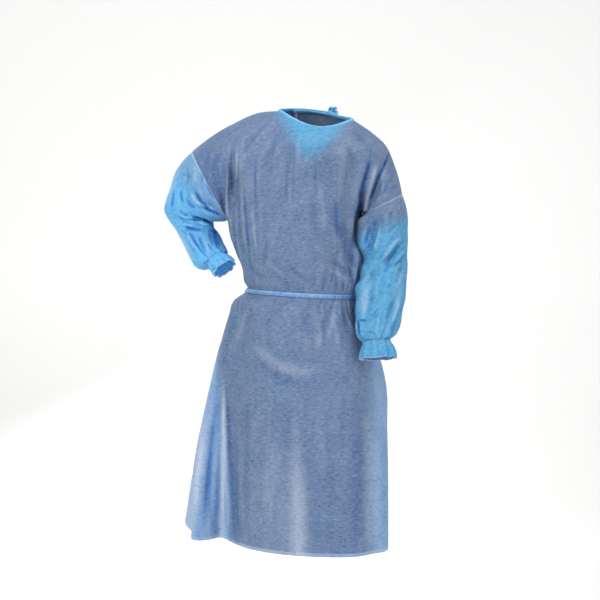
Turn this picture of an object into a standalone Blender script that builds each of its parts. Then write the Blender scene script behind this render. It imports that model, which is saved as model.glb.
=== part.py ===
"""Isolation gown, hollow and held in its worn form.

A front panel, two overlapping back panels, two sleeves with gathered cuffs, a bound
neck and a waist belt tied behind. The front faces -Y, up is +Z, and the origin is the
middle of the neck opening. "Left" and "right" are as seen by someone facing the front.
Lengths are millimetres until a mesh is made, which turns them into metres.
"""

import math
from collections import namedtuple

import bmesh
import bpy
import numpy as np
from mathutils.bvhtree import BVHTree

MM = 0.001

# Cloth, seams and the places where layers lie on each other
WALL = 1.5
SEAM_GAP = 0.4
LAYER_GAP = 0.4
UNDERLAP_INSET = 3.8

# The grid that every panel shares: columns round the body, rows up it
COLUMNS = 32
SEAM_COLUMN = 0.01
RISES = 12
SEAM_RISE = 0.02
BELT_HEIGHT = -432.0
BELT_WIDTH = 13.0
ROW_HEIGHTS = (
    -1050, -985, -910, -835, -760, -690, -625, -568, -520, -482, -456,
    BELT_HEIGHT - BELT_WIDTH / 2, BELT_HEIGHT + BELT_WIDTH / 2,
    -408, -376, -334, -290, -244,
)

# Sections of the body from hem to underarm. front and back are depths at the middle,
# skew is how much further back the left side seam stands than the mean, tilt is how
# much higher the right side is than the left.
Section = namedtuple("Section", "height left right front back skew tilt square")
BODY_SECTIONS = (
    Section(-1050, -308, 177, -132, 168, 58, 0, 2.1),
    Section(-915, -297, 177, -134, 160, 52, 0, 2.1),
    Section(-760, -276, 175, -135, 150, 44, 0, 2.1),
    Section(-640, -256, 170, -133, 140, 35, 0, 2.1),
    Section(-560, -237, 146, -130, 130, 28, -2, 2.1),
    Section(-490, -215, 114, -120, 118, 20, -8, 2.1),
    Section(-456, -200, 104, -111, 106, 16, -13, 2.1),
    Section(-432, -168, 99, -104, 96, 14, -15, 2.1),
    Section(-408, -176, 106, -111, 102, 14, -11, 2.1),
    Section(-370, -182, 109, -119, 109, 12, 0, 2.2),
    Section(-330, -196, 107, -123, 112, 12, 8, 2.3),
    Section(-290, -208, 106, -124, 113, 12, 14, 2.3),
    Section(-244, -216, 115, -122, 112, 14, 18, 2.3),
)
SIDE_SEAM_Y = 6.0

# Top edge: shoulder seams from the armhole to the neck, and the neck itself
Point = namedtuple("Point", "x y z")
LEFT_SHOULDER = (
    Point(-303, 19, -86), Point(-243, 12, -41), Point(-190, 8, -13), Point(-138, 6, 7), Point(-92, 5, 13),
)
RIGHT_SHOULDER = (
    Point(93.5, 5, -10), Point(136, 3, -39), Point(170, 0, -70), Point(193, -4, -121),
    Point(206, -7, -165), Point(211, -8, -192),
)
NECK_FRONT_DEPTH = 80.0
NECK_BACK_DEPTH = 58.0
NECK_FRONT_DROP = 34.0
NECK_BACK_RISE = 16.0
NECK_POINTED = 0.5
NECK_LIFT_POWER = 1.4
LEFT_SHOULDER_SHARE = 0.375
RIGHT_SHOULDER_SHARE = 0.25

# Armholes: how far their front and back halves stand from the line underarm to shoulder
LEFT_ARMHOLE_DEPTH = 72.0
RIGHT_ARMHOLE_DEPTH = 84.0
ARMHOLE_SPREAD = 4.0
ARMHOLE_BLEND = 0.16
ARMHOLE_SOFTER = 3.0
ARMHOLE_POINTED = 0.35
CLIMB_BLEND = 0.2

# Long folds of the body. turn runs round it: 0 centre back, 1 left side seam,
# 2 centre front, 3 right side seam. A fold goes from its top turn and height to its
# low ones, width is its half width, top_out and low_out are how far it stands out, and
# slide and lift are how far its low end is dragged on round the body and drawn up.
Fold = namedtuple("Fold", "name top_turn top low_turn low width top_out low_out slide lift")
BODY_FOLDS = (
    Fold("front left valley", 1.44, -440, 1.57, -1200, 64, -4, -100, -82, 0),
    Fold("front left ridge", 1.12, -470, 1.13, -1200, 34, 0, 8, 0, 0),
    Fold("left seam valley", 0.96, -470, 0.95, -1200, 26, 0, -12, 0, 0),
    Fold("left back flare", 0.74, -520, 0.74, -1200, 56, 0, 64, 0, 34),
    Fold("front thigh ridge", 2.42, -470, 2.36, -1200, 60, 0, 8, 0, 0),
    Fold("front right valley", 2.66, -470, 2.62, -1200, 34, -3, -9, 0, 0),
    Fold("centre front valley", 1.92, -520, 1.86, -1200, 40, 0, -9, 0, 0),
    Fold("back valley left", 0.42, -440, 0.36, -1200, 36, -6, -26, 0, 0),
    Fold("back ridge left", 0.22, -470, 0.14, -1200, 40, 0, 12, 0, 0),
    Fold("back valley middle", -0.10, -440, -0.12, -1200, 34, -5, -18, 0, 0),
    Fold("back valley right", -0.44, -440, -0.46, -1200, 38, -6, -24, 0, 0),
    Fold("back ridge right", -0.70, -480, -0.74, -1200, 40, 0, 12, 0, 0),
    Fold("left waist pinch", 1.30, -438, 1.34, -560, 16, -8, 0, 0, 0),
    Fold("front waist pinch", 2.40, -438, 2.38, -540, 14, -7, 0, 0, 0),
    Fold("right waist pinch", 2.62, -438, 2.58, -540, 13, -7, 0, 0, 0),
    Fold("right armpit valley", 2.70, -78, 2.85, -345, 26, -18, -16, 0, 0),
    Fold("right chest valley", 2.50, -70, 2.64, -400, 24, -17, -10, 0, 0),
    Fold("right chest ridge", 2.60, -90, 2.75, -330, 19, 6, 6, 0, 0),
    Fold("left chest valley", 1.36, -110, 1.34, -410, 16, -18, -10, 0, 0),
    Fold("left chest ridge", 1.26, -100, 1.24, -390, 15, 9, 7, 0, 0),
    Fold("left side valley", 1.18, -215, 1.14, -400, 18, -7, -8, 0, 0),
    Fold("blouse valley front", 1.72, -260, 1.66, -424, 22, 0, -7, 0, 0),
    Fold("blouse valley right", 2.34, -250, 2.42, -424, 20, 0, -8, 0, 0),
    Fold("back shoulder valley left", 0.60, -120, 0.50, -410, 26, -10, -8, 0, 0),
    Fold("back shoulder valley right", -0.62, -130, -0.52, -410, 26, -10, -8, 0, 0),
    Fold("back blouse valley", 0.10, -280, 0.06, -424, 26, 0, -8, 0, 0),
)
FOLD_FADE = 60.0
QUARTER_SHARE = 0.79
EDGE_FADE = 0.10
TOP_FADE = 0.22
UNDERARM_FADE = 0.2
NORMAL_FADE = 0.3
BELT_FADE = 1.5

# The back opening: the left panel lies over the right one by these columns
OVER_EDGE_COLUMN = 22
UNDER_EDGE_COLUMN = 16
TUCK_COLUMNS = 3

# Sleeves: each row gives the outer and the inner edge of a ring, the depth of its
# middle and half its thickness from front to back.
Ring = namedtuple("Ring", "outer_x outer_z inner_x inner_z middle_y half")
LEFT_SLEEVE = (
    Ring(-329, -111, -225, -257, 30, 67),
    Ring(-346, -134, -233, -257, 42, 63),
    Ring(-360, -171, -241, -256, 56, 60),
    Ring(-373, -208, -248, -255, 69, 58),
    Ring(-377, -227, -252, -258, 74, 56),
    Ring(-369, -245, -252, -265, 73, 54),
    Ring(-351, -270, -248, -274, 64, 52),
    Ring(-326, -315, -236, -290, 42, 49),
    Ring(-308, -349, -226, -311, 18, 46),
    Ring(-293, -367, -220, -322, 0, 43),
    Ring(-276, -371, -218, -330, -13, 36),
    Ring(-263, -363, -222, -333, -21, 28),
)
RIGHT_SLEEVE = (
    Ring(218, -214, 120, -258, -8, 84),
    Ring(224, -246, 120, -286, -9, 76),
    Ring(226, -283, 119, -318, -11, 70),
    Ring(223, -326, 119, -356, -17, 64),
    Ring(222, -374, 117, -394, -32, 58),
    Ring(218, -421, 109, -430, -58, 51),
    Ring(206, -477, 97, -482, -92, 45),
    Ring(195, -511, 93, -513, -118, 40),
    Ring(184, -527, 101, -533, -130, 34),
    Ring(173, -534, 110, -540, -136, 27),
)
LEFT_CUFF = (
    Ring(-262.7, -363.5, -221.7, -333.5, -21.4, 28),
    Ring(-257, -372, -212, -338, -26, 30),
    Ring(-250, -381, -203, -345, -31, 32),
    Ring(-244, -389, -196, -352, -35, 33),
)
RIGHT_CUFF = (
    Ring(173, -534.4, 110, -540.4, -136.4, 27),
    Ring(181, -548, 107, -554, -139, 29),
    Ring(186, -561, 104, -567, -142, 32),
    Ring(187, -577, 103, -582, -146, 34),
)
SLEEVE_ROWS = 15
ARMHOLE_RINGS = 5.0
LEAN_RINGS = 4.0
WRIST_RINGS = 4.0
DEPTH_LEAN = 0.4
CREASE_START = 0.14
CREASE_END = 0.12
GATHER_LENGTH = 0.14
CUFF_ROWS = 4
CUFF_POINTS = 40
CUFF_WAVES = 10
CUFF_WAVE_START = 0.6
CUFF_WAVE_OUT = 2.6
CUFF_WAVE_GROWTH = 0.7
SLEEVE_GATHER_OUT = 1.4

# Creases of the sleeves: along 0 to 1 down the sleeve, around 0 outer, 90 front,
# 180 inner and 270 back; heading 0 runs lengthwise and 90 round the sleeve.
Crease = namedtuple("Crease", "along around heading reach width out")
LEFT_CREASES = (
    Crease(0.22, 100, 60, 60, 11, -9),
    Crease(0.36, 135, 75, 55, 10, -10),
    Crease(0.30, 70, 45, 50, 12, 6),
    Crease(0.46, 120, 85, 60, 11, -10),
    Crease(0.58, 110, 70, 50, 11, -9),
    Crease(0.52, 60, 75, 45, 12, 6),
    Crease(0.72, 90, 25, 60, 12, -7),
    Crease(0.40, 250, 80, 70, 13, -9),
    Crease(0.62, 240, 60, 60, 12, -8),
)
RIGHT_CREASES = (
    Crease(0.20, 75, 40, 55, 11, -7),
    Crease(0.32, 60, 55, 60, 12, -9),
    Crease(0.44, 110, 60, 55, 12, -6),
    Crease(0.16, 130, 15, 60, 11, -8),
    Crease(0.72, 55, 20, 70, 11, -9),
    Crease(0.84, 120, 60, 40, 10, -7),
    Crease(0.35, 250, 60, 70, 14, -8),
    Crease(0.60, 270, 70, 60, 13, -8),
)

# Trim
BINDING_HEIGHT = 6.0
BINDING_WALL = 2.6
BINDING_LEAN = 0.9
BELT_WALL = 1.5
TIE_WIDTH = 12.0
TIE_CLEAR = 1.2
TIE_STEPS = 7
KNOT_SIZE = Point(24, 12, 17)
KNOT_CAGE = 1.25
KNOT_PINCH = 0.86
KNOT_COLUMN = 18
KNOT_LIFT = 1.6
NECK_KNOT_LIFT = 4.7
WAIST_TIE_LENGTH = 230.0
NECK_TIE_LENGTH = 120.0
TIE_SPLAY = 0.17
TIE_FALL = 0.35
TIE_PROBES = (-7.0, 0.0, 7.0)
TIE_APART = 6.6
TIE_BELOW = -0.2
NECK_TIE_BEHIND = 1.0
NECK_TIE_BELOW = 3.5
FAR_BEHIND = 900.0
SHARP_ANGLE = 50


def soft_step(value):
    """0 below 0, 1 above 1, and a smooth S between."""
    value = np.clip(value, 0.0, 1.0)
    return value * value * (3.0 - 2.0 * value)


def through(knots, values, at):
    """Cubic Hermite curve through the values, its slopes taken from the neighbouring knots."""
    knots = np.asarray(knots, float)
    values = np.asarray(values, float)
    at = np.clip(np.asarray(at, float), knots[0], knots[-1])
    slopes = np.gradient(values, knots, axis=0)
    low = np.clip(np.searchsorted(knots, at, side="right") - 1, 0, len(knots) - 2)
    span = knots[low + 1] - knots[low]
    t = (at - knots[low]) / span
    if values.ndim > 1:
        span = span[:, None]
        t = t[:, None]
    start = values[low] * (1 + 2 * t) * (1 - t) ** 2 + values[low + 1] * t * t * (3 - 2 * t)
    bend = slopes[low] * t * (1 - t) ** 2 + slopes[low + 1] * t * t * (t - 1)
    return start + bend * span


def along_points(points, shares):
    """Curve through the points, read at shares of its chord length."""
    points = np.array(points, float)
    chords = np.linalg.norm(np.diff(points, axis=0), axis=1)
    knots = np.concatenate(([0.0], np.cumsum(chords)))
    return through(knots / knots[-1], points, shares)


def unit(vectors):
    """Each vector at length 1."""
    return vectors / np.maximum(np.linalg.norm(vectors, axis=-1, keepdims=True), 1e-9)


def grid_normals(points, closed=False):
    """Normal at each point of a grid: the cross product of its two central differences."""
    if closed:
        wide = np.concatenate((points[:, -1:], points, points[:, :1]), axis=1)
        across = np.gradient(wide, axis=1)[:, 1:-1]
    else:
        across = np.gradient(points, axis=1)
    along = np.gradient(points, axis=0)
    return unit(np.cross(across, along))


def section_at(heights):
    """The body's section values at each point's height."""
    knots = [section.height for section in BODY_SECTIONS]
    rows = through(knots, BODY_SECTIONS, heights.ravel())
    return Section(*[column.reshape(heights.shape) for column in rows.T])


def level_rows(heights, across):
    """The height of every point of a grid whose rows are level."""
    return np.repeat(np.array(heights, float)[:, None], len(across), axis=1)


def armhole_climb(rises):
    """How far up an armhole's half ring stands: an ellipse whose bottom is slightly pointed."""
    return (1 - np.cos(math.pi * rises)) / 2 + ARMHOLE_POINTED * rises * (1 - rises) ** 2


def fold_push(turn, height, quarter):
    """How far the long folds stand out, slide round and lift: a bell across each, faded at both ends."""
    total = np.zeros(np.broadcast(turn, height).shape)
    slide = np.zeros_like(total)
    lift = np.zeros_like(total)
    for fold in BODY_FOLDS:
        share = np.clip((fold.top - height) / (fold.top - fold.low), 0.0, 1.0)
        centre = fold.top_turn + (fold.low_turn - fold.top_turn) * share
        apart = ((turn - centre + 2.0) % 4.0 - 2.0) * quarter
        ends = soft_step((fold.top - height) / FOLD_FADE) * soft_step((height - fold.low) / FOLD_FADE)
        out = fold.top_out + (fold.low_out - fold.top_out) * share
        bell = ends * np.exp(-((apart / fold.width) ** 2))
        total += out * bell
        slide += fold.slide * share * bell
        lift += fold.lift * share * bell
    belt = 1.0 - np.exp(-(((height - BELT_HEIGHT) / (BELT_FADE * BELT_WIDTH)) ** 4))
    return total * belt, slide * belt, lift * belt


def lower_rows(side, across, heights, folded=True):
    """Rows below the underarm: sheared superellipses, with the folds pushed along their normals."""
    part = section_at(heights)
    middle = (part.left + part.right) / 2
    half = (part.right - part.left) / 2
    deep = (part.front if side < 0 else part.back) - SIDE_SEAM_Y
    cosine = np.cos(math.pi * across)
    sine = np.sin(math.pi * across)
    lean = np.sign(cosine) * np.abs(cosine) ** (2 / part.square)
    bulge = np.abs(sine) ** (2 / part.square)
    x = middle - half * lean
    y = SIDE_SEAM_Y + deep * bulge + part.skew * lean
    z = part.height - part.tilt * lean / 2
    out_y = bulge / deep
    out_x = -lean / half + part.skew / half * out_y
    out = unit(np.stack((out_x, out_y, np.zeros_like(x)), axis=-1))
    points = np.stack(np.broadcast_arrays(x, y, z), axis=-1)
    if not folded:
        return points, out
    turn = 1.0 - 2.0 * side * across
    quarter = QUARTER_SHARE * (half + np.abs(deep))
    push, slide, lift = fold_push(turn, z, quarter)
    round_way = np.stack((-out[..., 1], out[..., 0], out[..., 2]), axis=-1)
    points += out * push[..., None] + round_way * slide[..., None]
    points[..., 2] += lift
    return points, out


def neck_edge(side, share):
    """Half of the neck's edge: near a half ellipse in plan, it drops in front and rises behind."""
    left = np.array(LEFT_SHOULDER[-1], float)
    right = np.array(RIGHT_SHOULDER[0], float)
    swing = np.sin(math.pi * share)
    along = (1 - NECK_POINTED) * (1 - np.cos(math.pi * share)) / 2 + NECK_POINTED * share
    points = left + (right - left) * along[:, None]
    depth = -NECK_FRONT_DEPTH if side < 0 else NECK_BACK_DEPTH
    lift = -NECK_FRONT_DROP if side < 0 else NECK_BACK_RISE
    points[:, 1] += depth * swing
    points[:, 2] += lift * swing ** NECK_LIFT_POWER
    return points


def top_row(side, across):
    """Top edge of a panel: left shoulder seam, neck, right shoulder seam."""
    left_end = LEFT_SHOULDER_SHARE
    right_start = 1 - RIGHT_SHOULDER_SHARE
    left = along_points(LEFT_SHOULDER, across / left_end)
    right = along_points(RIGHT_SHOULDER, (across - right_start) / RIGHT_SHOULDER_SHARE)
    neck = neck_edge(side, np.clip((across - left_end) / (right_start - left_end), 0, 1))
    row = np.where((across < left_end)[:, None], left, neck)
    return np.where((across > right_start)[:, None], right, row)


def upper_rows(side, across, rises):
    """Rows from the underarm to the top edge.

    Each column rises along a quarter of an ellipse from its underarm point to its top
    point. The end columns are moved on to the armhole's half ring, and their neighbours
    follow them less and less.
    """
    base, out = lower_rows(side, across, level_rows(ROW_HEIGHTS[-1:], across), folded=False)
    base = base[0]
    top = top_row(side, across)
    edge_climb = armhole_climb(rises)[:, None]
    inside = soft_step(np.minimum(across, 1 - across) / CLIMB_BLEND)
    climb = edge_climb * (1 - inside) + np.sin(math.pi * rises / 2)[:, None] * inside
    points = np.empty((len(rises), len(across), 3))
    for axis in (0, 2):
        points[..., axis] = base[:, axis] + (top[:, axis] - base[:, axis]) * climb
    points[..., 1] = top[:, 1] + (base[:, 1] - top[:, 1]) * np.sqrt(1 - climb ** 2)
    swing = np.sin(math.pi * rises)[:, None]
    for column, depth, share in (
        (0, LEFT_ARMHOLE_DEPTH, 1 - across), (-1, RIGHT_ARMHOLE_DEPTH, across),
    ):
        line = base[column, 1] + (top[column, 1] - base[column, 1]) * edge_climb
        softer = swing ** (1 + ARMHOLE_SOFTER * soft_step((1 - share) / ARMHOLE_BLEND))
        shift = line - points[:, column, 1:2] + side * depth * softer
        points[..., 1] += shift * share ** ARMHOLE_SPREAD
    rise = soft_step(rises / NORMAL_FADE)[:, None, None]
    normals = unit(out[0] * (1 - rise) - side * grid_normals(points) * rise)
    edge = soft_step(across / EDGE_FADE) * soft_step((1 - across) / EDGE_FADE)
    hold = 1 - soft_step(rises / UNDERARM_FADE)[:, None] * (1 - edge)
    hold = hold * soft_step((1 - rises) / TOP_FADE)[:, None]
    half = (base[-1, 0] - base[0, 0]) / 2
    depth = BODY_SECTIONS[-1].front if side < 0 else BODY_SECTIONS[-1].back
    quarter = QUARTER_SHARE * (half + abs(depth - SIDE_SEAM_Y))
    push = fold_push(1.0 - 2.0 * side * across, points[..., 2], quarter)[0] * hold
    points[1:] += (normals * push[..., None])[1:]
    return points


def columns_across():
    """Even columns, with a narrow one beside each side seam so that both panels leave it alike."""
    even = np.linspace(0, 1, COLUMNS + 1)
    return np.concatenate((even[:1], [SEAM_COLUMN], even[1:-1], [1 - SEAM_COLUMN], even[-1:]))


def rises_up():
    """Even rises from underarm to shoulder, with a narrow one under the shoulder seam."""
    even = np.linspace(0, 1, RISES + 1)
    return np.concatenate((even[:-1], [1 - SEAM_RISE], even[-1:]))


def body_grid(side):
    """All the rows of the front, side -1, or of the whole back, side 1."""
    across = columns_across()
    low, _ = lower_rows(side, across, level_rows(ROW_HEIGHTS, across))
    high = upper_rows(side, across, rises_up())
    return np.concatenate((low, high[1:]))


def pull_back(points, ends, gap=SEAM_GAP / 2):
    """Move the named edges of a grid inward along it, so that neighbours keep a seam's gap."""
    points = points.copy()
    for end in ends:
        edge, inner = {
            "left": ((slice(None), 0), (slice(None), 1)),
            "right": ((slice(None), -1), (slice(None), -2)),
            "low": ((0,), (1,)),
            "high": ((-1,), (-2,)),
        }[end]
        points[edge] += unit(points[inner] - points[edge]) * gap
    return points


def inset(points, amount):
    """Move a back panel's points in along its normals by an amount for each column."""
    normals = -grid_normals(points)
    normals[-1] = normals[-2]
    return points - normals * amount[None, :, None]


def sleeve_frame(rings, first=None):
    """Middles and half-width vectors of a sleeve's table of rings, read at even steps of its length."""
    rings = np.array(rings, float)
    outer = np.stack((rings[:, 0], rings[:, 4], rings[:, 1]), axis=1)
    inner = np.stack((rings[:, 2], rings[:, 4], rings[:, 3]), axis=1)
    half = rings[:, 5:6]
    if first is not None:
        outer = np.concatenate((first[0][None], outer))
        inner = np.concatenate((first[1][None], inner))
        half = np.concatenate(([[first[2]]], half))
    return (outer + inner) / 2, (outer - inner) / 2, half


def tube(middles, reach, half, rows, around, end_line, on_armhole=True):
    """Rings round a bent centre line.

    A ring is its middle plus reach times a cosine less a depth vector times a sine. The
    depth vector lies along Y where the ring meets an armhole, leans towards standing
    across the centre line further down, and stands across end_line at the wrist. The
    first rings have the armhole's slight point.
    """
    chords = np.linalg.norm(np.diff(middles, axis=0), axis=1)
    knots = np.concatenate(([0.0], np.cumsum(chords)))
    knots /= knots[-1]
    shares = np.linspace(0, 1, rows + 1)
    table = np.concatenate((middles, reach, half), axis=1)
    read = through(knots, table, shares)
    middle, arm, deep = read[:, :3], read[:, 3:6], read[:, 6:]
    line = unit(np.gradient(middle, axis=0))
    depth = unit(np.cross(line, arm))
    depth *= np.sign(depth[:, 1:2])
    end_depth = unit(np.cross(end_line, arm))
    end_depth *= np.sign(end_depth[:, 1:2])
    closing = np.ones((rows + 1, 1))
    wave = np.repeat(np.cos(around)[None], rows + 1, axis=0)
    if on_armhole:
        step = np.arange(rows + 1)[:, None]
        pointed = 2 * armhole_climb(np.abs(around / math.pi - 1)) - 1
        wave += (pointed - wave) * (1 - soft_step(step / ARMHOLE_RINGS))
        turned = DEPTH_LEAN * soft_step(step / LEAN_RINGS)
        depth = unit(np.array((0.0, 1.0, 0.0)) * (1 - turned) + depth * turned)
        closing = soft_step((step - rows + WRIST_RINGS) / (WRIST_RINGS - 1))
    depth = unit(depth * (1 - closing) + end_depth * closing)
    swing = np.sin(around)[None, :, None]
    return middle[:, None] + arm[:, None] * wave[..., None] - (depth * deep)[:, None] * swing


def crease_out(creases, shares, around, length, girth):
    """How far the creases stand out: each is a bell across its line, faded at both ends."""
    total = np.zeros((len(shares), len(around)))
    for crease in creases:
        heading = math.radians(crease.heading)
        down = (shares - crease.along)[:, None] * length
        turned = (around - math.radians(crease.around) + math.pi) % (2 * math.pi) - math.pi
        beside = turned[None, :] * girth[:, None]
        run = down * math.cos(heading) + beside * math.sin(heading)
        off = -down * math.sin(heading) + beside * math.cos(heading)
        total += crease.out * np.exp(-((run / crease.reach) ** 4)) * np.exp(-((off / crease.width) ** 2))
    return total


def cuff_line(rings):
    """Direction in which a cuff leaves its wrist."""
    middles, _, _ = sleeve_frame(rings)
    return unit(middles[-1] - middles[0])


def sleeve_grid(rings, first, cuff, creases, mirror):
    """A sleeve: the tube, its creases, and small gathers where it is drawn in at the wrist."""
    middles, reach, half = sleeve_frame(rings, first)
    front_half = math.pi * (1 - rises_up()[::-1])
    around = np.concatenate((front_half, 2 * math.pi - front_half[-2:0:-1]))
    points = tube(middles, reach, half, SLEEVE_ROWS, around, cuff_line(cuff))
    radial = unit(points - points.mean(axis=1, keepdims=True))
    shares = np.linspace(0, 1, SLEEVE_ROWS + 1)
    length = np.linalg.norm(np.diff(middles, axis=0), axis=1).sum()
    girth = np.linalg.norm(points[:, 0] - points[:, len(around) // 2], axis=1) / 2
    push = crease_out(creases, shares, around, length, girth)
    push *= (soft_step(shares / CREASE_START) * soft_step((1 - shares) / CREASE_END))[:, None]
    normals = grid_normals(points, closed=True) * mirror
    gathered = soft_step((shares - 1 + GATHER_LENGTH) / GATHER_LENGTH)[:, None]
    gather = SLEEVE_GATHER_OUT * gathered * np.cos(RISES * around)
    return points + normals * push[..., None] + radial * gather[..., None]


def cuff_grid(rings):
    """A cuff: a short flared tube whose frill waves more and more towards its end."""
    middles, reach, half = sleeve_frame(rings)
    around = np.linspace(0, 2 * math.pi, CUFF_POINTS, endpoint=False)
    points = tube(middles, reach, half, CUFF_ROWS, around, cuff_line(rings), on_armhole=False)
    shares = np.linspace(0, 1, CUFF_ROWS + 1)[:, None]
    wide = CUFF_WAVE_OUT * (1 - CUFF_WAVE_GROWTH * (1 - shares))
    push = wide * np.cos(CUFF_WAVES * around + CUFF_WAVE_START)
    radial = unit(points - points.mean(axis=1, keepdims=True))
    return points + radial * push[..., None]


def binding_grid(over, front, under):
    """The neck binding: a strip that stands on the panels' top edges, from end to end.

    It runs round the neck along the over panel, the front and the under panel. Its
    height goes across the edge, in the cloth's own surface and a little upward.
    """
    neck_left = 1 + round(LEFT_SHOULDER_SHARE * COLUMNS)
    neck_right = 1 + round((1 - RIGHT_SHOULDER_SHARE) * COLUMNS)
    pieces = (
        (over, np.arange(OVER_EDGE_COLUMN, neck_left, -1), -1.0),
        (front, np.arange(neck_left, neck_right + 1), 1.0),
        (under, np.arange(neck_right - 1 - UNDER_EDGE_COLUMN, -1, -1), -1.0),
    )
    edge = np.concatenate([grid[-1, columns] for grid, columns, _ in pieces])
    out = np.concatenate([sign * grid_normals(grid)[-1, columns] for grid, columns, sign in pieces])
    tangent = unit(np.gradient(edge, axis=0))
    rise = unit(np.cross(out, tangent))
    centre = edge.mean(axis=0)
    rise *= np.sign(((centre - edge) * rise).sum(axis=1))[:, None]
    rise = unit(rise + np.array((0.0, 0.0, BINDING_LEAN)))
    out = unit(np.cross(tangent, rise))
    base = edge - out * WALL / 2
    low = base + rise * SEAM_GAP
    high = base + rise * (SEAM_GAP + BINDING_HEIGHT)
    return np.stack((low, high))


def belt_grid():
    """The waist belt: a band on the body's points at the belt's two edges, moved out."""
    across = np.linspace(0, 1, COLUMNS + 1)
    heights = level_rows((BELT_HEIGHT - BELT_WIDTH / 2, BELT_HEIGHT + BELT_WIDTH / 2), across)
    front, front_out = lower_rows(-1, across, heights)
    back, back_out = lower_rows(1, across[::-1], heights)
    points = np.concatenate((front, back[:, 1:-1]), axis=1)
    out = np.concatenate((front_out, back_out[:, 1:-1]), axis=1)
    return points + out * LAYER_GAP


def back_place(share, height):
    """A point of the back's outer surface and its outward direction."""
    points, out = lower_rows(1, np.array((share,)), np.array(((height,),)))
    return points[0, 0], out[0, 0]


def surface_behind(grid):
    """A function that gives how far back a panel reaches at x and z, found with a ray."""
    rows, columns = grid.shape[:2]
    index = np.arange(rows * columns).reshape(rows, columns)
    faces = np.stack((index[:-1, :-1], index[:-1, 1:], index[1:, 1:], index[1:, :-1]), axis=-1)
    tree = BVHTree.FromPolygons(grid.reshape(-1, 3).tolist(), faces.reshape(-1, 4).tolist())

    def reach(x, z):
        place = tree.ray_cast((x, FAR_BEHIND, z), (0.0, -1.0, 0.0))[0]
        return place.y if place else -FAR_BEHIND

    return reach


def hang_tie(start, side, length, reach):
    """A tie's free end: a flat strip that hangs from start and rests on the back, splayed to one side."""
    rows = []
    depth = start[1]
    for drop in np.linspace(0, length, TIE_STEPS + 1):
        x = start[0] + side * TIE_SPLAY * drop
        z = start[2] - drop
        beside = [reach(x + dx, z + dz) for dx in TIE_PROBES for dz in TIE_PROBES]
        depth = max(max(beside) + TIE_CLEAR, depth)
        rows.append((x, depth, z))
        depth -= TIE_FALL * length / TIE_STEPS
    wide = np.array((TIE_WIDTH / 2, 0.0, side * TIE_SPLAY * TIE_WIDTH / 2))
    rows = np.array(rows)
    return np.stack((rows - wide, rows + wide), axis=1)


def cloth_material(name, colour, roughness):
    """A plain cloth material."""
    material = bpy.data.materials.new(name)
    material.use_nodes = True
    shader = material.node_tree.nodes["Principled BSDF"]
    shader.inputs["Base Color"].default_value = (*colour, 1.0)
    shader.inputs["Roughness"].default_value = roughness
    shader.inputs["Metallic"].default_value = 0.0
    return material


def add_object(name, mesh, material, collection):
    """Put a mesh in the collection as a named object with its material."""
    mesh.materials.append(material)
    mesh.shade_smooth()
    mesh.set_sharp_from_angle(angle=math.radians(SHARP_ANGLE))
    item = bpy.data.objects.new(name, mesh)
    collection.objects.link(item)
    return item


def add_shell(name, points, material, collection, wall=WALL, offset=-1.0, closed=False, flip=False):
    """A grid of points as an open surface, with a Solidify wall."""
    rows, columns = points.shape[:2]
    row = np.arange(rows - 1)[:, None]
    column = np.arange(columns if closed else columns - 1)[None, :]
    nearby = (column + 1) % columns
    corners = (row * columns + column, row * columns + nearby,
               (row + 1) * columns + nearby, (row + 1) * columns + column)
    faces = np.stack(np.broadcast_arrays(*corners), axis=-1).reshape(-1, 4)
    if flip:
        faces = faces[:, ::-1]
    mesh = bpy.data.meshes.new(name)
    mesh.from_pydata((points.reshape(-1, 3) * MM).tolist(), [], faces.tolist())
    item = add_object(name, mesh, material, collection)
    solid = item.modifiers.new("wall", "SOLIDIFY")
    solid.thickness = wall * MM
    solid.offset = offset
    return item


def add_knot(name, centre, size, material, collection):
    """A soft knot: a cube cage rounded by Subdivision Surface."""
    cage = bmesh.new()
    bmesh.ops.create_cube(cage, size=1.0)
    for vertex in cage.verts:
        pinch = KNOT_PINCH if vertex.co.z > 0 else 1.0
        vertex.co.x = centre[0] * MM + vertex.co.x * size.x * MM * KNOT_CAGE * pinch
        vertex.co.y = centre[1] * MM + vertex.co.y * size.y * MM * KNOT_CAGE
        vertex.co.z = centre[2] * MM + vertex.co.z * size.z * MM * KNOT_CAGE
    mesh = bpy.data.meshes.new(name)
    cage.to_mesh(mesh)
    cage.free()
    item = add_object(name, mesh, material, collection)
    round_off = item.modifiers.new("round", "SUBSURF")
    round_off.levels = 2
    round_off.render_levels = 2
    return item


def make_panels(materials, collection):
    """The front and the two back panels; the left one lies over the right one."""
    front = body_grid(-1)
    back = body_grid(1)
    over = back[:, :OVER_EDGE_COLUMN + 1]
    columns = np.arange(UNDER_EDGE_COLUMN, back.shape[1])
    amount = UNDERLAP_INSET * soft_step((OVER_EDGE_COLUMN + TUCK_COLUMNS - columns) / TUCK_COLUMNS)
    under = inset(back[:, UNDER_EDGE_COLUMN:], amount)
    front = pull_back(front, ("left", "right", "high"))
    over = pull_back(over, ("left", "high"))
    under = pull_back(under, ("right", "high"))
    add_shell("front_panel", front, materials["panel"], collection)
    add_shell("back_panel_left", over, materials["panel"], collection, flip=True)
    add_shell("back_panel_right", under, materials["panel"], collection, flip=True)
    return front, over, under, back


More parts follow.
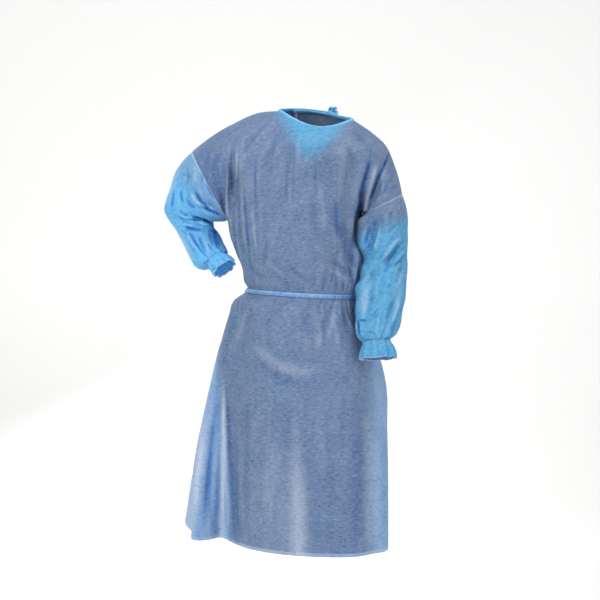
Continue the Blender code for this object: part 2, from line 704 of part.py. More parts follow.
def make_sleeves(materials, collection, front):
    """Sleeves that start on the armholes, and their cuffs."""
    base = len(ROW_HEIGHTS) - 1
    whole = body_grid(-1)
    left_start = (whole[-1, 0], whole[base, 0], LEFT_ARMHOLE_DEPTH)
    right_start = (whole[-1, -1], whole[base, -1], RIGHT_ARMHOLE_DEPTH)
    left = sleeve_grid(LEFT_SLEEVE, left_start, LEFT_CUFF, LEFT_CREASES, -1.0)
    right = sleeve_grid(RIGHT_SLEEVE, right_start, RIGHT_CUFF, RIGHT_CREASES, 1.0)
    for name, grid, flip in (("sleeve_left", left, True), ("sleeve_right", right, False)):
        grid = pull_back(grid, ("low",))
        add_shell(name, grid, materials["sleeve"], collection, closed=True, flip=flip)
    for name, rings, flip in (("cuff_left", LEFT_CUFF, True), ("cuff_right", RIGHT_CUFF, False)):
        grid = cuff_grid(rings)
        add_shell(name, grid, materials["sleeve"], collection, closed=True, flip=flip)


def make_trim(materials, collection, front, over, under, back):
    """Neck binding, belt, and the two knots with their free ends."""
    add_shell("neck_binding", binding_grid(over, front, under), materials["trim"], collection,
              wall=BINDING_WALL, offset=0.0)
    add_shell("waist_belt", belt_grid(), materials["trim"], collection,
              wall=BELT_WALL, offset=1.0, closed=True)
    reach = surface_behind(back)
    place, out = back_place(KNOT_COLUMN / COLUMNS, BELT_HEIGHT)
    knot = place + out * (LAYER_GAP + BELT_WALL + KNOT_LIFT + KNOT_SIZE.y / 2)
    add_knot("waist_knot", knot, KNOT_SIZE, materials["trim"], collection)
    for name, side in (("waist_tie_left", -1), ("waist_tie_right", 1)):
        start = knot + np.array((side * TIE_APART, 0.0, -KNOT_SIZE.z / 2 - TIE_BELOW))
        grid = hang_tie(start, side, WAIST_TIE_LENGTH, reach)
        add_shell(name, grid, materials["trim"], collection, wall=BELT_WALL, offset=0.0)
    edge = over[-1, -2]
    neck_out = unit(-grid_normals(over)[-1, -2])
    neck_knot = edge + neck_out * (BINDING_WALL / 2 + NECK_KNOT_LIFT + KNOT_SIZE.y / 2)
    add_knot("neck_knot", neck_knot, KNOT_SIZE, materials["trim"], collection)
    for name, side in (("neck_tie_left", -1), ("neck_tie_right", 1)):
        start = neck_knot + np.array((side * TIE_APART, KNOT_SIZE.y / 2 + NECK_TIE_BEHIND, -NECK_TIE_BELOW))
        grid = hang_tie(start, side, NECK_TIE_LENGTH, reach)
        add_shell(name, grid, materials["trim"], collection, wall=BELT_WALL, offset=0.0)


def main():
    for item in list(bpy.data.objects):
        bpy.data.objects.remove(item, do_unlink=True)
    collection = bpy.data.collections.new("isolation_gown")
    bpy.context.scene.collection.children.link(collection)
    materials = {
        "panel": cloth_material("body cloth", (0.19, 0.30, 0.55), 0.75),
        "sleeve": cloth_material("sleeve cloth", (0.14, 0.39, 0.66), 0.75),
        "trim": cloth_material("trim cloth", (0.16, 0.40, 0.75), 0.7),
    }
    front, over, under, back = make_panels(materials, collection)
    make_sleeves(materials, collection, front)
    make_trim(materials, collection, front, over, under, back)


main()
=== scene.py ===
"""Isolation gown, dressed in its cloth as it hangs when worn.

A front panel, two back panels that overlap, two sleeves gathered into frilled cuffs, a
bound neck and a narrow waist belt tied behind, all of light blue spun nonwoven cloth. The
front faces -Y, up is +Z, and the origin is the middle of the neck opening. "Left" and
"right" are as seen by someone facing the front. Lengths are millimetres until a mesh is
made, which turns them into metres.
"""

import math
from collections import namedtuple
from functools import lru_cache

import bpy
import numpy as np
from bpy.props import FloatProperty, FloatVectorProperty, PointerProperty
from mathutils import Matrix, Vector
from mathutils.bvhtree import BVHTree


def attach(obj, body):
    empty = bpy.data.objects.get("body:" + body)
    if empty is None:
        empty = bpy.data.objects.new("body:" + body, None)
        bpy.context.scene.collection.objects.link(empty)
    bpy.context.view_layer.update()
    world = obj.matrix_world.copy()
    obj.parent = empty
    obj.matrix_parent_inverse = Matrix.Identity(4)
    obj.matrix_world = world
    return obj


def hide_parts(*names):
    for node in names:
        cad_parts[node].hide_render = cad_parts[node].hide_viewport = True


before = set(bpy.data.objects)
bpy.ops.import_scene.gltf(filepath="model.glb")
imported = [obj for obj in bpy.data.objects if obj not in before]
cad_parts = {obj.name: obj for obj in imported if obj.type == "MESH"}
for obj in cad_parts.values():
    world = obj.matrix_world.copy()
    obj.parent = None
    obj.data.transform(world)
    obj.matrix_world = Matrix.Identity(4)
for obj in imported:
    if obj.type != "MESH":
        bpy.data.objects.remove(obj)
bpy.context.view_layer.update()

bl_info = {
    "name": "Isolation gown",
    "version": (1, 0, 0),
    "blender": (4, 5, 0),
    "location": "3D View > Sidebar > Gown",
    "description": "Builds the cloth, trim and stage of an isolation gown",
    "category": "Object",
}

MM = 0.001


def table(kind, rows):
    """Rows of plain numbers as records of one kind."""
    return tuple(kind(*row) for row in rows)


def crease_table(rows):
    """Creases, each from a row of its width, out and sharp and then its points' x and y."""
    return tuple(Crease(*row[:3], np.reshape(row[3:], (-1, 2))) for row in rows)


# The body's rows and columns. Rows are closer together where the belt gathers the cloth.
COLUMNS = 192
ACROSS = np.linspace(0, 1, COLUMNS + 1)
RISES = 94
BELT_HEIGHT = -432.0
BELT_WIDTH = 13.0
HEM_HEIGHT = -1050.0
HEM_WIDTH = 10.0
UNDERARM_HEIGHT = -244.0
RowRun = namedtuple("RowRun", "low high step")
ROW_RUNS = table(RowRun, (
    (-1040, -1020, 5.0), (-1020, -520, 7.2), (-520, -360, 3.6), (-360, UNDERARM_HEIGHT, 5.5),
))

# Sections of the body from hem to underarm. front and back are depths at the middle,
# skew is how much further back the left side seam stands than the mean, tilt is how
# much higher the right side is than the left.
Section = namedtuple("Section", "height left right front back skew tilt square")
BODY_SECTIONS = table(Section, (
    (-1050, -308, 177, -132, 168, 58, 0, 2.1), (-915, -297, 177, -134, 160, 52, 0, 2.1),
    (-760, -276, 175, -135, 150, 44, 0, 2.1), (-640, -256, 170, -133, 140, 35, 0, 2.1),
    (-560, -237, 146, -130, 130, 28, -2, 2.1), (-490, -215, 114, -120, 118, 20, -8, 2.1),
    (-456, -200, 104, -111, 106, 16, -13, 2.1), (-432, -168, 99, -104, 96, 14, -15, 2.1),
    (-408, -176, 106, -111, 102, 14, -11, 2.1), (-370, -182, 109, -119, 109, 12, 0, 2.2),
    (-330, -196, 107, -123, 112, 12, 8, 2.3), (-290, -208, 106, -124, 113, 12, 14, 2.3),
    (-244, -216, 115, -122, 112, 14, 18, 2.3),
))
SIDE_SEAM_Y = 6.0

# Top edge: shoulder seams from the armhole to the neck, and the neck itself
Point = namedtuple("Point", "x y z")
LEFT_SHOULDER = ((-303, 19, -86), (-243, 12, -41), (-190, 8, -13), (-138, 6, 7), (-92, 5, 13))
RIGHT_SHOULDER = (
    (93.5, 5, -10), (136, 3, -39), (170, 0, -70), (193, -4, -121), (206, -7, -165), (211, -8, -192),
)
NECK_FRONT_DEPTH = 80.0
NECK_BACK_DEPTH = 58.0
NECK_FRONT_DROP = 34.0
NECK_BACK_RISE = 16.0
NECK_POINTED = 0.5
NECK_LIFT_POWER = 1.4
LEFT_SHOULDER_SHARE = 0.375
RIGHT_SHOULDER_SHARE = 0.25
NECK_LEFT_COLUMN = round(LEFT_SHOULDER_SHARE * COLUMNS)
NECK_RIGHT_COLUMN = round((1 - RIGHT_SHOULDER_SHARE) * COLUMNS)
# Along the neck the cloth turns in by so much less, and changes over such a share
NECK_TURN_LESS = 0.7
NECK_TURN_SOFT = 0.02

# Armholes: how far their front and back halves stand from the line underarm to shoulder,
# the power by which that dies away across a panel, the share over which it softens and
# how much, how pointed their bottom is, and the share over which a panel climbs as they do
LEFT_ARMHOLE_DEPTH = 72.0
RIGHT_ARMHOLE_DEPTH = 84.0
ARMHOLE_SPREAD = 4.0
ARMHOLE_BLEND = 0.16
ARMHOLE_SOFTER = 3.0
ARMHOLE_POINTED = 0.35
CLIMB_BLEND = 0.2

# Long folds of the body. turn runs round it: 0 centre back, 1 left side seam,
# 2 centre front, 3 right side seam. A fold goes from its top turn and height to its
# low ones, width is its half width, top_out and low_out are how far it stands out, and
# slide and lift are how far its low end is dragged on round the body and drawn up.
Fold = namedtuple("Fold", "top_turn top low_turn low width top_out low_out slide lift", defaults=(0, 0))
BODY_FOLDS = table(Fold, (
    # skirt, front and left side
    (1.44, -440, 1.57, -1200, 64, -4, -100, -82, 0), (1.12, -470, 1.13, -1200, 34, 0, 8),
    (0.96, -470, 0.95, -1200, 26, 0, -12), (0.74, -520, 0.74, -1200, 56, 0, 64, 0, 34),
    (2.42, -470, 2.36, -1200, 60, 0, 8), (2.66, -470, 2.62, -1200, 34, -3, -9),
    (1.92, -520, 1.86, -1200, 40, 0, -9),
    # skirt, back
    (0.42, -440, 0.36, -1200, 36, -6, -26), (0.22, -470, 0.14, -1200, 40, 0, 12),
    (-0.10, -440, -0.12, -1200, 34, -5, -18), (-0.44, -440, -0.46, -1200, 38, -6, -24),
    (-0.70, -480, -0.74, -1200, 40, 0, 12),
    # pinched in at the waist
    (1.30, -438, 1.34, -560, 16, -8, 0), (2.40, -438, 2.38, -540, 14, -7, 0),
    (2.62, -438, 2.58, -540, 13, -7, 0),
    # right chest and side
    (2.70, -78, 2.85, -345, 26, -18, -16), (2.50, -70, 2.64, -400, 24, -17, -10),
    (2.60, -90, 2.75, -330, 19, 6, 6), (2.96, -286, 2.96, -420, 38, 9, 9),
    (2.97, -248, 2.97, -340, 34, 5, 5),
    # left chest and side
    (1.36, -110, 1.34, -410, 16, -18, -10), (1.26, -100, 1.24, -390, 15, 9, 7),
    (1.18, -215, 1.14, -400, 18, -7, -8),
    # bloused over the belt
    (1.72, -260, 1.66, -424, 22, 0, -7), (2.34, -250, 2.42, -424, 20, 0, -8),
    # back above the belt
    (0.60, -120, 0.50, -410, 26, -10, -8), (-0.62, -130, -0.52, -410, 26, -10, -8),
    (0.10, -280, 0.06, -424, 26, 0, -8),
))
# How a fold fades at its ends, in millimetres, and a quarter of the girth as a share of
# half width and depth together. Then shares: folds fade over them at the side edges and
# the top, the sides' fading sets in above the underarm, and the surface's own normals
# take over. The belt flattens folds over so many of its widths.
FOLD_FADE = 60.0
QUARTER_SHARE = 0.79
EDGE_FADE = 0.10
TOP_FADE = 0.22
UNDERARM_FADE = 0.2
NORMAL_FADE = 0.3
BELT_FADE = 1.5

# The back opening, in shares across the back: the left panel lies over the right one
OVER_EDGE = 0.65625
UNDER_EDGE = 0.46875
OVER_COLUMN = round(OVER_EDGE * COLUMNS)
UNDER_COLUMN = round(UNDER_EDGE * COLUMNS)
TUCK = 0.09
UNDERLAP_INSET = 3.8

# Sleeves: each row gives the outer and the inner edge of a ring, the depth of its
# middle and half its thickness from front to back.
Ring = namedtuple("Ring", "outer_x outer_z inner_x inner_z middle_y half")
LEFT_SLEEVE = table(Ring, (
    (-329, -111, -225, -257, 30, 67), (-346, -134, -233, -257, 42, 63), (-360, -171, -241, -256, 56, 60),
    (-373, -208, -248, -255, 69, 58), (-377, -227, -252, -258, 74, 56), (-369, -245, -252, -265, 73, 54),
    (-351, -270, -248, -274, 64, 52), (-326, -315, -236, -290, 42, 49), (-308, -349, -226, -311, 18, 46),
    (-293, -367, -220, -322, 0, 43), (-276, -371, -218, -330, -13, 36), (-263, -363, -222, -333, -21, 28),
))
RIGHT_SLEEVE = table(Ring, (
    (218, -214, 120, -258, -8, 84), (224, -246, 120, -286, -9, 76), (226, -283, 119, -318, -11, 70),
    (223, -326, 119, -356, -17, 64), (222, -374, 117, -394, -32, 58), (218, -421, 109, -430, -58, 51),
    (206, -477, 97, -482, -92, 45), (195, -511, 93, -513, -118, 40), (184, -527, 101, -533, -130, 34),
    (173, -534, 110, -540, -136, 27),
))
LEFT_CUFF = table(Ring, (
    (-262.7, -363.5, -221.7, -333.5, -21.4, 28), (-257, -372, -212, -338, -26, 30),
    (-250, -381, -203, -345, -31, 32), (-244, -389, -196, -352, -35, 33),
))
RIGHT_CUFF = table(Ring, (
    (173, -534.4, 110, -540.4, -136.4, 27), (181, -548, 107, -554, -139, 29),
    (186, -561, 104, -567, -142, 32), (187, -577, 103, -582, -146, 34),
))
# Broad creases of the sleeves: along 0 to 1 down the sleeve, around 0 outer, 90 front,
# 180 inner and 270 back; heading 0 runs lengthwise and 90 round the sleeve.
Bend = namedtuple("Bend", "along around heading reach width out")
# Where the right sleeve's cloth billows until it meets the body
RIGHT_BILLOWS = table(Bend, (
    (0.12, 158, 0, 64, 30, 28), (0.50, 160, 0, 50, 26, 13), (0.68, 168, 0, 46, 28, 9),
))
BILLOW_START = 0.05
# A sleeve's rows, and from where and over what share its cloth comes to stand away. Its
# length is so many steps, and the armhole's point fades, the rings come to lean and the
# wrist closes over so many of them. Its broad and then its fine creases start and end
# over shares of its length.
SLEEVE_ROWS = 200
SLEEVE_NEAR_FROM = 0.08
SLEEVE_NEAR_OVER = 0.14
SLEEVE_STEPS = 15.0
ARMHOLE_RINGS = 5.0
LEAN_RINGS = 4.0
WRIST_RINGS = 4.0
DEPTH_LEAN = 0.4
CREASE_START = 0.14
CREASE_END = 0.12
FINE_START = 0.08
FINE_END = 0.06
# Gathers above a wrist: how far back they reach, how many, how deep, and a shift of seed
WRIST_GATHERS = ((0.17, 13, 1.9, 0.0), (0.08, 26, 1.1, 1.0))

# Cuffs: rows, points round, and the frill's broad waves: how many, where they start, how
# far out they go and how much of that comes towards the end
CUFF_ROWS = 26
CUFF_POINTS = 180
CUFF_WAVES = 10
CUFF_WAVE_START = 0.6
CUFF_WAVE_OUT = 2.6
CUFF_WAVE_GROWTH = 0.7
# How many and how deep are its gathers at the wrist, the pleats of its frill and the
# waves of its edge, and the elastic's groove
CUFF_GATHERS = 26
CUFF_GATHER = 1.3
CUFF_PLEATS = 23
CUFF_FRILL = 1.2
CUFF_EDGE_WAVES = 7
CUFF_EDGE = 1.4
CUFF_GROOVE = 1.4
CUFF_GROOVE_AT = 0.16
CUFF_GROOVE_WIDTH = 0.09

# Turned edges: how far in and how far back over the cloth. A hem's are shares of its depth.
SEAM_TURN = ((0.5, 0.1), (1.8, 0.35), (4.5, 0.8))
HEM_TURN = ((0.9, 0.02), (1.2, 0.5), (1.3, 1.0))
CUFF_TURN = ((0.8, 0.1), (1.0, 4.0))

LEFT_BENDS = table(Bend, (
    (0.22, 100, 60, 60, 11, -6), (0.36, 135, 75, 55, 10, -5), (0.30, 70, 45, 50, 12, 5),
    (0.46, 120, 85, 60, 11, -5), (0.58, 110, 70, 50, 11, -5), (0.52, 60, 75, 45, 12, 5),
    (0.72, 90, 25, 60, 12, -6), (0.40, 250, 80, 70, 13, -9), (0.62, 240, 60, 60, 12, -8),
))
RIGHT_BENDS = table(Bend, (
    (0.32, 60, 55, 60, 12, -4), (0.44, 110, 60, 55, 12, -5), (0.16, 118, 15, 60, 12, -7),
    (0.72, 55, 20, 70, 11, -5), (0.84, 120, 60, 40, 10, -6), (0.35, 250, 60, 70, 14, -8),
    (0.60, 270, 70, 60, 13, -8),
))

# Creases drawn as lines in the front view. Its points are millimetres right of and
# above the middle of the view, on the plane through the origin. sharp 0 is a soft bell
# and 1 a pinched line.
Crease = namedtuple("Crease", "width out sharp path")
FRONT_CREASES = crease_table((
    # left chest
    (4, -6, 0.6, -165, 398, -169, 316, -164, 240), (4, 6, 0.3, -178, 350, -179, 228, -174, 140),
    (4, 5, 0.3, -153, 392, -156, 316, -156, 270), (5, -7, 0.5, -138, 300, -135, 228, -125, 120, -118, 61),
    (4, 5, 0.3, -155, 257, -154, 200, -148, 140), (5, 5, 0.2, -120, 236, -114, 180, -106, 110),
    (5, -5, 0.5, -196, 280, -190, 220, -178, 150), (4, -6, 0.6, -166, 214, -160, 150, -148, 84, -142, 60),
    (4.5, -4, 0.5, -108, 368, -110, 270, -103, 176), (9, -3, 0.1, -88, 233, -83, 147, -93, 59),
    (12, 4, 0.0, -132, 421, -142, 368, -147, 294),
    # right chest
    (4.5, -8, 0.6, 226, 378, 207, 332, 187, 289, 172, 240, 162, 190),
    (9, -8, 0.2, 176, 372, 164, 319, 151, 270, 145, 216, 143, 150),
    (4, -7, 0.6, 179, 360, 168, 319, 155, 270, 148, 216, 146, 170),
    (7, 8, 0.1, 190, 340, 175, 280, 160, 222, 152, 176), (6, 4, 0.2, 208, 290, 197, 262, 184, 236),
    (6, -4, 0.5, 235, 323, 221, 289, 198, 260, 176, 240), (7, -3.5, 0.4, 243, 289, 223, 270, 203, 260),
    (9, -5, 0.2, 93, 255, 88, 206, 100, 157, 115, 123), (10, 4, 0.0, 120, 270, 115, 208, 127, 147),
    (9, 4, 0.0, 49, 304, 56, 233, 61, 157), (10, -4, 0.1, 29, 270, 34, 206, 44, 132),
    (7, -4, 0.4, 137, 167, 127, 118, 135, 69),
    # neck and shoulders
    (10, -3.5, 0.1, -47, 421, -69, 372, -93, 304), (8, -3, 0.2, -74, 436, -118, 392, -152, 338),
    (9, -3, 0.1, 98, 407, 123, 363, 137, 304), (8, -3, 0.3, 127, 417, 162, 382, 191, 343),
    (9, 3, 0.0, 0, 412, -7, 343, -12, 270), (8, -2.5, 0.2, -110, 446, -157, 417, -196, 387),
    (7, -2.5, 0.3, -216, 368, -233, 331, -240, 289), (7, -3, 0.3, -191, 380, -211, 331, -213, 279),
    # above the belt
    (7, -5, 0.5, 74, 96, 100, 81, 123, 51), (8, 4, 0.1, 64, 78, 93, 64, 118, 29),
    (6, -5, 0.4, 115, 88, 127, 51, 135, 20), (8, -4, 0.2, -132, 93, -108, 69, -74, 39),
    (9, 3.5, 0.1, -93, 103, -59, 74, -20, 44), (7, -3.5, 0.4, -34, 93, -7, 64, 29, 39),
    (7, -3, 0.4, -149, 78, -135, 49, -123, 24),
    # skirt
    (12, 4, 0.0, 56, -7, 51, -54, 39, -123), (13, -5, 0.1, 22, -7, 17, -54, 27, -103),
    (16, 2.5, 0.0, -137, -83, -93, -132, -39, -172, 15, -176, 49, -142),
    (11, -2, 0.2, -132, -113, -88, -162, -34, -201, 20, -206),
    (12, -13, 0.2, -200, -110, -205, -262, -222, -400, -228, -500, -234, -610),
    (7, 9, 0.1, -190, -190, -184, -320, -178, -440, -176, -600),
    (10, 7, 0.1, -226, -240, -244, -380, -262, -570),
    (9, -4, 0.3, -147, -5, -164, -54, -181, -123, -194, -186), (9, 4, 0.1, -123, -5, -140, -54, -157, -118),
    (6, -4, 0.4, 105, -5, 110, -44, 120, -98), (6, -5, 0.5, 130, -2, 135, -44, 147, -103),
    (9, 4, 0.0, 83, -5, 86, -54, 98, -127), (14, -5, 0.1, 149, -245, 152, -368, 149, -490, 154, -617),
    (14, 4, 0.0, 186, -270, 189, -417, 189, -617), (20, -5, 0.0, -20, -294, -12, -417, -7, -539, -5, -627),
    (16, 4, 0.0, -69, -270, -74, -392, -78, -539, -81, -620), (16, 4, 0.0, 44, -245, 54, -392, 59, -627),
    (12, -3.5, 0.1, 108, -196, 105, -318, 98, -441),
    (11, -4, 0.2, -123, -196, -130, -318, -132, -466, -130, -608),
    (8, -3, 0.4, -157, -294, -154, -417, -152, -588), (7, -3, 0.5, -230, -294, -240, -392, -247, -514),
    (6, -2.5, 0.5, -216, -368, -221, -466, -213, -583), (7, 3, 0.2, -176, -343, -172, -466, -169, -588),
    (3.5, 3, 0.4, -20, 378, -22, 300, -27, 215), (3.5, -3, 0.4, -32, 372, -33, 300, -37, 225),
    (3.5, -3, 0.5, 40, 340, 38, 290, 44, 240),
    # pressed lines left by the gown's folding in its packet
    (2.6, -1.5, 0.9, 39, 421, 10, 294, -22, 147, -39, 20),
    (2.6, -1.3, 0.9, -39, 0, -59, -196, -74, -392, -81, -617), (2.4, -1.1, 0.9, 93, 412, 91, 245, 93, 29),
    (2.4, -1.0, 0.9, 113, -5, 118, -245, 123, -627), (2.4, -1.1, 0.9, -172, 216, -24, 211, 137, 216),
    (2.4, -1.0, 0.9, -191, -147, 0, -152, 206, -157), (2.4, -1.0, 0.9, -230, -372, -24, -377, 216, -372),
))
# Painted shade and painted highlight in bands along the front's folds: deeper where light would pass more
# layers of the front, paler where it would pass fewer. They tint the cloth alone
FRONT_SHADING_BANDS = crease_table((
    # right chest
    (2.9, -1.5, 0.5, 230, 388, 209, 335, 188, 289, 172, 244, 161, 196),
    (3.4, -1.1, 0.4, 176, 380, 165, 319, 152, 270, 145, 216, 142, 150),
    (6, 0.7, 0.1, 196, 366, 180, 306, 163, 250, 153, 200), (14, -0.22, 0.1, 92, 380, 78, 300, 70, 240),
    (12, -0.25, 0.1, 92, 250, 86, 200, 98, 150), (10, -0.30, 0.2, 96, 150, 112, 116, 128, 86),
    (14, -0.20, 0.1, 98, 204, 118, 140, 138, 66), (30, 0.40, 0.0, 110, 420, 112, 330, 114, 220),
    # left chest and shoulder
    (34, -0.45, 0.0, -236, 390, -214, 300, -196, 210), (12, -0.22, 0.1, -24, 396, -22, 330, -26, 260),
    # left flare
    (10, 0.12, 0.1, -199, -180, -207, -318, -219, -421, -236, -640),
    (6, 1.5, 0.1, -187, -190, -187, -290, -188, -400, -190, -560),
    (9, 1.4, 0.1, -190, -330, -189, -460, -196, -860), (16, 1.5, 0.1, -222, -240, -250, -400, -326, -840),
    (10, -0.35, 0.2, -178, -260, -172, -390, -158, -520, -158, -700),
    # skirt
    (14, 0.6, 0.1, -14, -230, -8, -430, 2, -800), (28, 0.45, 0.0, -10, -360, -2, -560, 0, -900),
    (62, 0.35, 0.0, -60, -300, -50, -480, -40, -800), (16, -0.28, 0.0, 126, -190, 132, -380, 136, -700),
    (17, 0.30, 0.0, 170, -220, 173, -400, 173, -700),
    (14, 0.40, 0.0, -120, -100, -80, -140, 0, -172, 70, -160), (8, 0.45, 0.2, 84, -20, 76, -60, 62, -110),
    (6, 0.40, 0.2, 46, -64, 50, -90, 42, -120),
))
# The same for the back, as points x and z of the gown itself
BACK_SHADING_BANDS = crease_table((
    (44, 0.9, 0.0, -244, -560, -290, -800, -330, -1300), (30, 0.35, 0.0, 150, -500, 168, -800, 172, -1300),
    (26, 0.30, 0.0, -60, -500, -70, -800, -80, -1300),
))
# Bands of painted shade and painted highlight on the sleeves, as points of the front view
LEFT_SLEEVE_SHADING_BANDS = crease_table((
    (8, 0.7, 0.0, -303, 180, -281, 130, -258, 84), (9, 0.5, 0.0, -292, 340, -318, 270, -336, 210),
    (13, -0.40, 0.0, -240, 256, -216, 226, -186, 202), (8, -0.45, 0.1, -222, 190, -206, 156, -190, 116),
))
RIGHT_SLEEVE_SHADING_BANDS = crease_table((
    (11, 0.7, 0.0, 176, 84, 162, 20, 150, -60), (9, -0.35, 0.0, 266, 134, 242, 102, 218, 70),
    (16, -0.35, 0.0, 190, 226, 178, 166, 164, 110), (8, 0.5, 0.0, 244, 96, 240, 30, 226, -50),
    (2.8, -0.9, 0.5, 143, -40, 144, -66, 149, -96), (2.8, -0.7, 0.5, 140, -48, 154, -50, 170, -48),
    (3.2, -0.7, 0.4, 140, -86, 166, -99, 200, -99, 228, -90),
))
LEFT_SLEEVE_CREASES = crease_table((
    (5, -9, 0.6, -263, 280, -254, 260, -241, 240, -222, 222, -196, 208),
    (4, -6, 0.7, -246, 230, -226, 220, -207, 213, -186, 203),
    (4, -7, 0.7, -268, 207, -250, 199, -232, 193, -208, 186),
    (3.5, -5, 0.7, -266, 197, -254, 190, -238, 181),
    (4.5, -6, 0.6, -288, 182, -272, 176, -252, 173, -228, 174),
    (4, -6, 0.7, -309, 272, -312, 248, -314, 222), (3.5, -5, 0.7, -292, 272, -290, 250, -284, 232),
    (4, -5, 0.6, -300, 222, -284, 210, -268, 204), (4, -4, 0.6, -280, 250, -266, 232, -252, 222),
    (5, 6, 0.2, -272, 268, -258, 246, -238, 228), (4, 5, 0.3, -250, 240, -228, 228, -204, 219),
    (4, 5, 0.3, -276, 196, -256, 190, -234, 186, -214, 180), (4, 4, 0.3, -296, 190, -276, 184, -250, 181),
    (10, -8, 0.2, -210, 182, -205, 150, -195, 120), (4, -5, 0.6, -222, 176, -217, 150, -208, 128),
    (5, 5, 0.2, -281, 172, -265, 142, -246, 116), (5, -5, 0.4, -273, 172, -256, 142, -238, 116, -222, 100),
    (5, -4, 0.4, -252, 162, -240, 134, -228, 112), (6, 4, 0.1, -240, 160, -230, 136, -220, 112),
    (6, -4, 0.4, -250, 348, -240, 312, -243, 276), (6, -3, 0.3, -279, 331, -274, 299, -279, 276),
    (6, 3, 0.2, -262, 340, -256, 306, -262, 280), (5, -4, 0.5, -232, 299, -222, 268, -204, 240),
    (5, 4, 0.2, -224, 306, -213, 272, -196, 244),
))
RIGHT_SLEEVE_CREASES = crease_table((
    (9, -5, 0.3, 190, 204, 179, 169, 169, 132, 160, 92), (5, -6, 0.5, 172, 190, 165, 160, 158, 128),
    (6, 6, 0.1, 200, 190, 190, 150, 178, 108), (5, -5, 0.5, 264, 152, 245, 137, 222, 107, 198, 74),
    (5, 6, 0.2, 256, 160, 236, 145, 212, 114, 192, 88), (5, 5, 0.2, 262, 128, 245, 108, 226, 84),
    (7, -6, 0.4, 222, 98, 214, 80, 202, 66), (6, -4, 0.5, 240, 188, 228, 178, 214, 160),
    (9, 5, 0.0, 196, 66, 188, 30, 184, -10), (4.5, -4, 0.5, 240, 18, 226, -14, 214, -50, 206, -84),
    (5, 5, 0.2, 248, 4, 236, -28, 224, -62), (6, -5, 0.4, 181, 78, 169, 49, 152, 24),
    (5, -5, 0.5, 255, 98, 244, 66, 238, 34), (6, -4, 0.3, 176, 20, 167, -20, 158, -50),
    (3.5, -5, 0.7, 140, -46, 142, -66, 144, -90), (3, -3, 0.7, 141, -50, 154, -51, 168, -49),
    (3.5, -4, 0.6, 160, -78, 174, -80, 190, -88), (5, 3.5, 0.2, 196, -29, 190, -64, 188, -93),
    (5, -4, 0.5, 240, -44, 230, -69, 223, -93), (8, -3, 0.2, 226, 222, 220, 196, 214, 170),
))
# Creases of the hidden back, as points x and z of the gown itself
BACK_CREASES = crease_table((
    (9, -6, 0.3, -215, -150, -180, -220, -150, -320, -140, -410),
    (8, 5, 0.0, -190, -120, -160, -210, -130, -300),
    (10, -6, 0.2, 130, -110, 110, -200, 90, -310, 84, -410), (8, 5, 0.0, 150, -120, 130, -210, 112, -300),
    (9, -4, 0.3, -60, -90, -80, -180, -90, -280), (9, 4, 0.1, -20, -100, -30, -210, -44, -330),
    (8, -4, 0.4, -110, -300, -80, -350, -60, -415), (8, -4, 0.4, -10, -320, 10, -360, 20, -418),
    (9, -5, 0.3, 40, -460, 30, -560, 34, -680), (12, 4, 0.0, -40, -460, -46, -600, -50, -760),
    (10, -5, 0.2, -110, -470, -124, -620, -150, -820), (10, -4, 0.2, 90, -480, 104, -640, 112, -860),
    (12, 4, 0.0, 0, -640, -6, -820, -10, -1040), (9, -4, 0.3, -210, -640, -226, -820, -240, -1030),
    (8, -3, 0.4, 140, -560, 148, -740, 150, -1000), (2.6, -1.2, 0.9, -14, -60, -20, -500, -26, -1040),
    (2.4, -1.0, 0.9, -200, -300, 0, -304, 110, -300), (2.4, -1.0, 0.9, -250, -640, 0, -646, 160, -640),
))
SLEEVE_BACK_CREASES = crease_table((
    (7, -6, 0.5, -360, -200, -320, -225, -270, -235), (7, -6, 0.5, -365, -230, -320, -248, -280, -250),
    (8, 5, 0.1, -350, -180, -310, -205, -260, -215), (7, -5, 0.4, -330, -130, -300, -180, -280, -220),
    (8, -5, 0.3, -330, -280, -300, -315, -270, -350), (8, 4, 0.1, -310, -270, -280, -300, -250, -330),
    (8, -6, 0.4, 215, -270, 180, -300, 150, -320), (8, -5, 0.4, 216, -330, 180, -350, 140, -360),
    (8, 5, 0.1, 214, -300, 180, -325, 140, -340), (8, -5, 0.3, 205, -380, 180, -430, 170, -490),
    (7, -5, 0.4, 150, -400, 140, -450, 130, -500),
))
# Where the body's cloth lies close: height, and the edges left and right, past which it
# stands away
NEAR_EDGES = (
    (-1050, -222, 160), (-940, -225, 158), (-700, -243, 158), (-610, -254, 154), (-560, -264, 150),
    (-432, -216, 118), (-300, -242, 132), (-240, -262, 200), (-190, -420, 320),
)
NEAR_SOFT_LEFT = 26.0
NEAR_SOFT_RIGHT = 50.0
# Below the neck the cloth lies free, one layer that light passes: height, middle, half
# width and how free it is
NECK_FREE = (
    (-136, -20, 6, 0.0), (-106, -18, 38, 0.45), (-70, -7, 66, 0.85), (-34, -3, 88, 1.0), (0, -3, 108, 1.0),
)
NECK_SOFT = 46.0
# What a cloth grid holds after its points and normals: how doubled it is or, on a tape, its edge's painted
# highlight, how close and how free it lies, and its painted shade in troughs and painted highlight on ridges
DOUBLED_OR_HIGHLIT, NEAR, FREE, SHADE_AND_HIGHLIGHT = 6, 7, 8, 9
# Painted shade and painted highlight that follow the creases: the cloth's colour is painted deeper and bluer
# in troughs and paler along ridges. The distances at which hollows are measured, how deep a trough or a drawn
# crease takes the deepest painted shade, the widest crease drawn at full strength, how wide it is drawn and
# the finest line. Then how far the painted shade and the painted highlight go and what they turn to, and how
# doubled a hem looks.
HOLLOW_CELLS = (2, 5)
HOLLOW_DEPTH = 1.5
HOLLOW_SHADE_SHARE = 0.2
BODY_SHADE_DEPTH = 10.0
DRAWN_WIDTH = 5.0
DRAWN_SHARE = 0.65
DRAWN_FINEST = 2.6
MOST_SHADE = 1.2
MOST_HIGHLIGHT = 2.0
SHADE_TINT = (0.22, 0.48, 0.80)
HIGHLIGHT_SHARE = 0.36
HIGHLIGHT_COLOUR = "#DCE4F2"
DOUBLED_HEM = 0.6
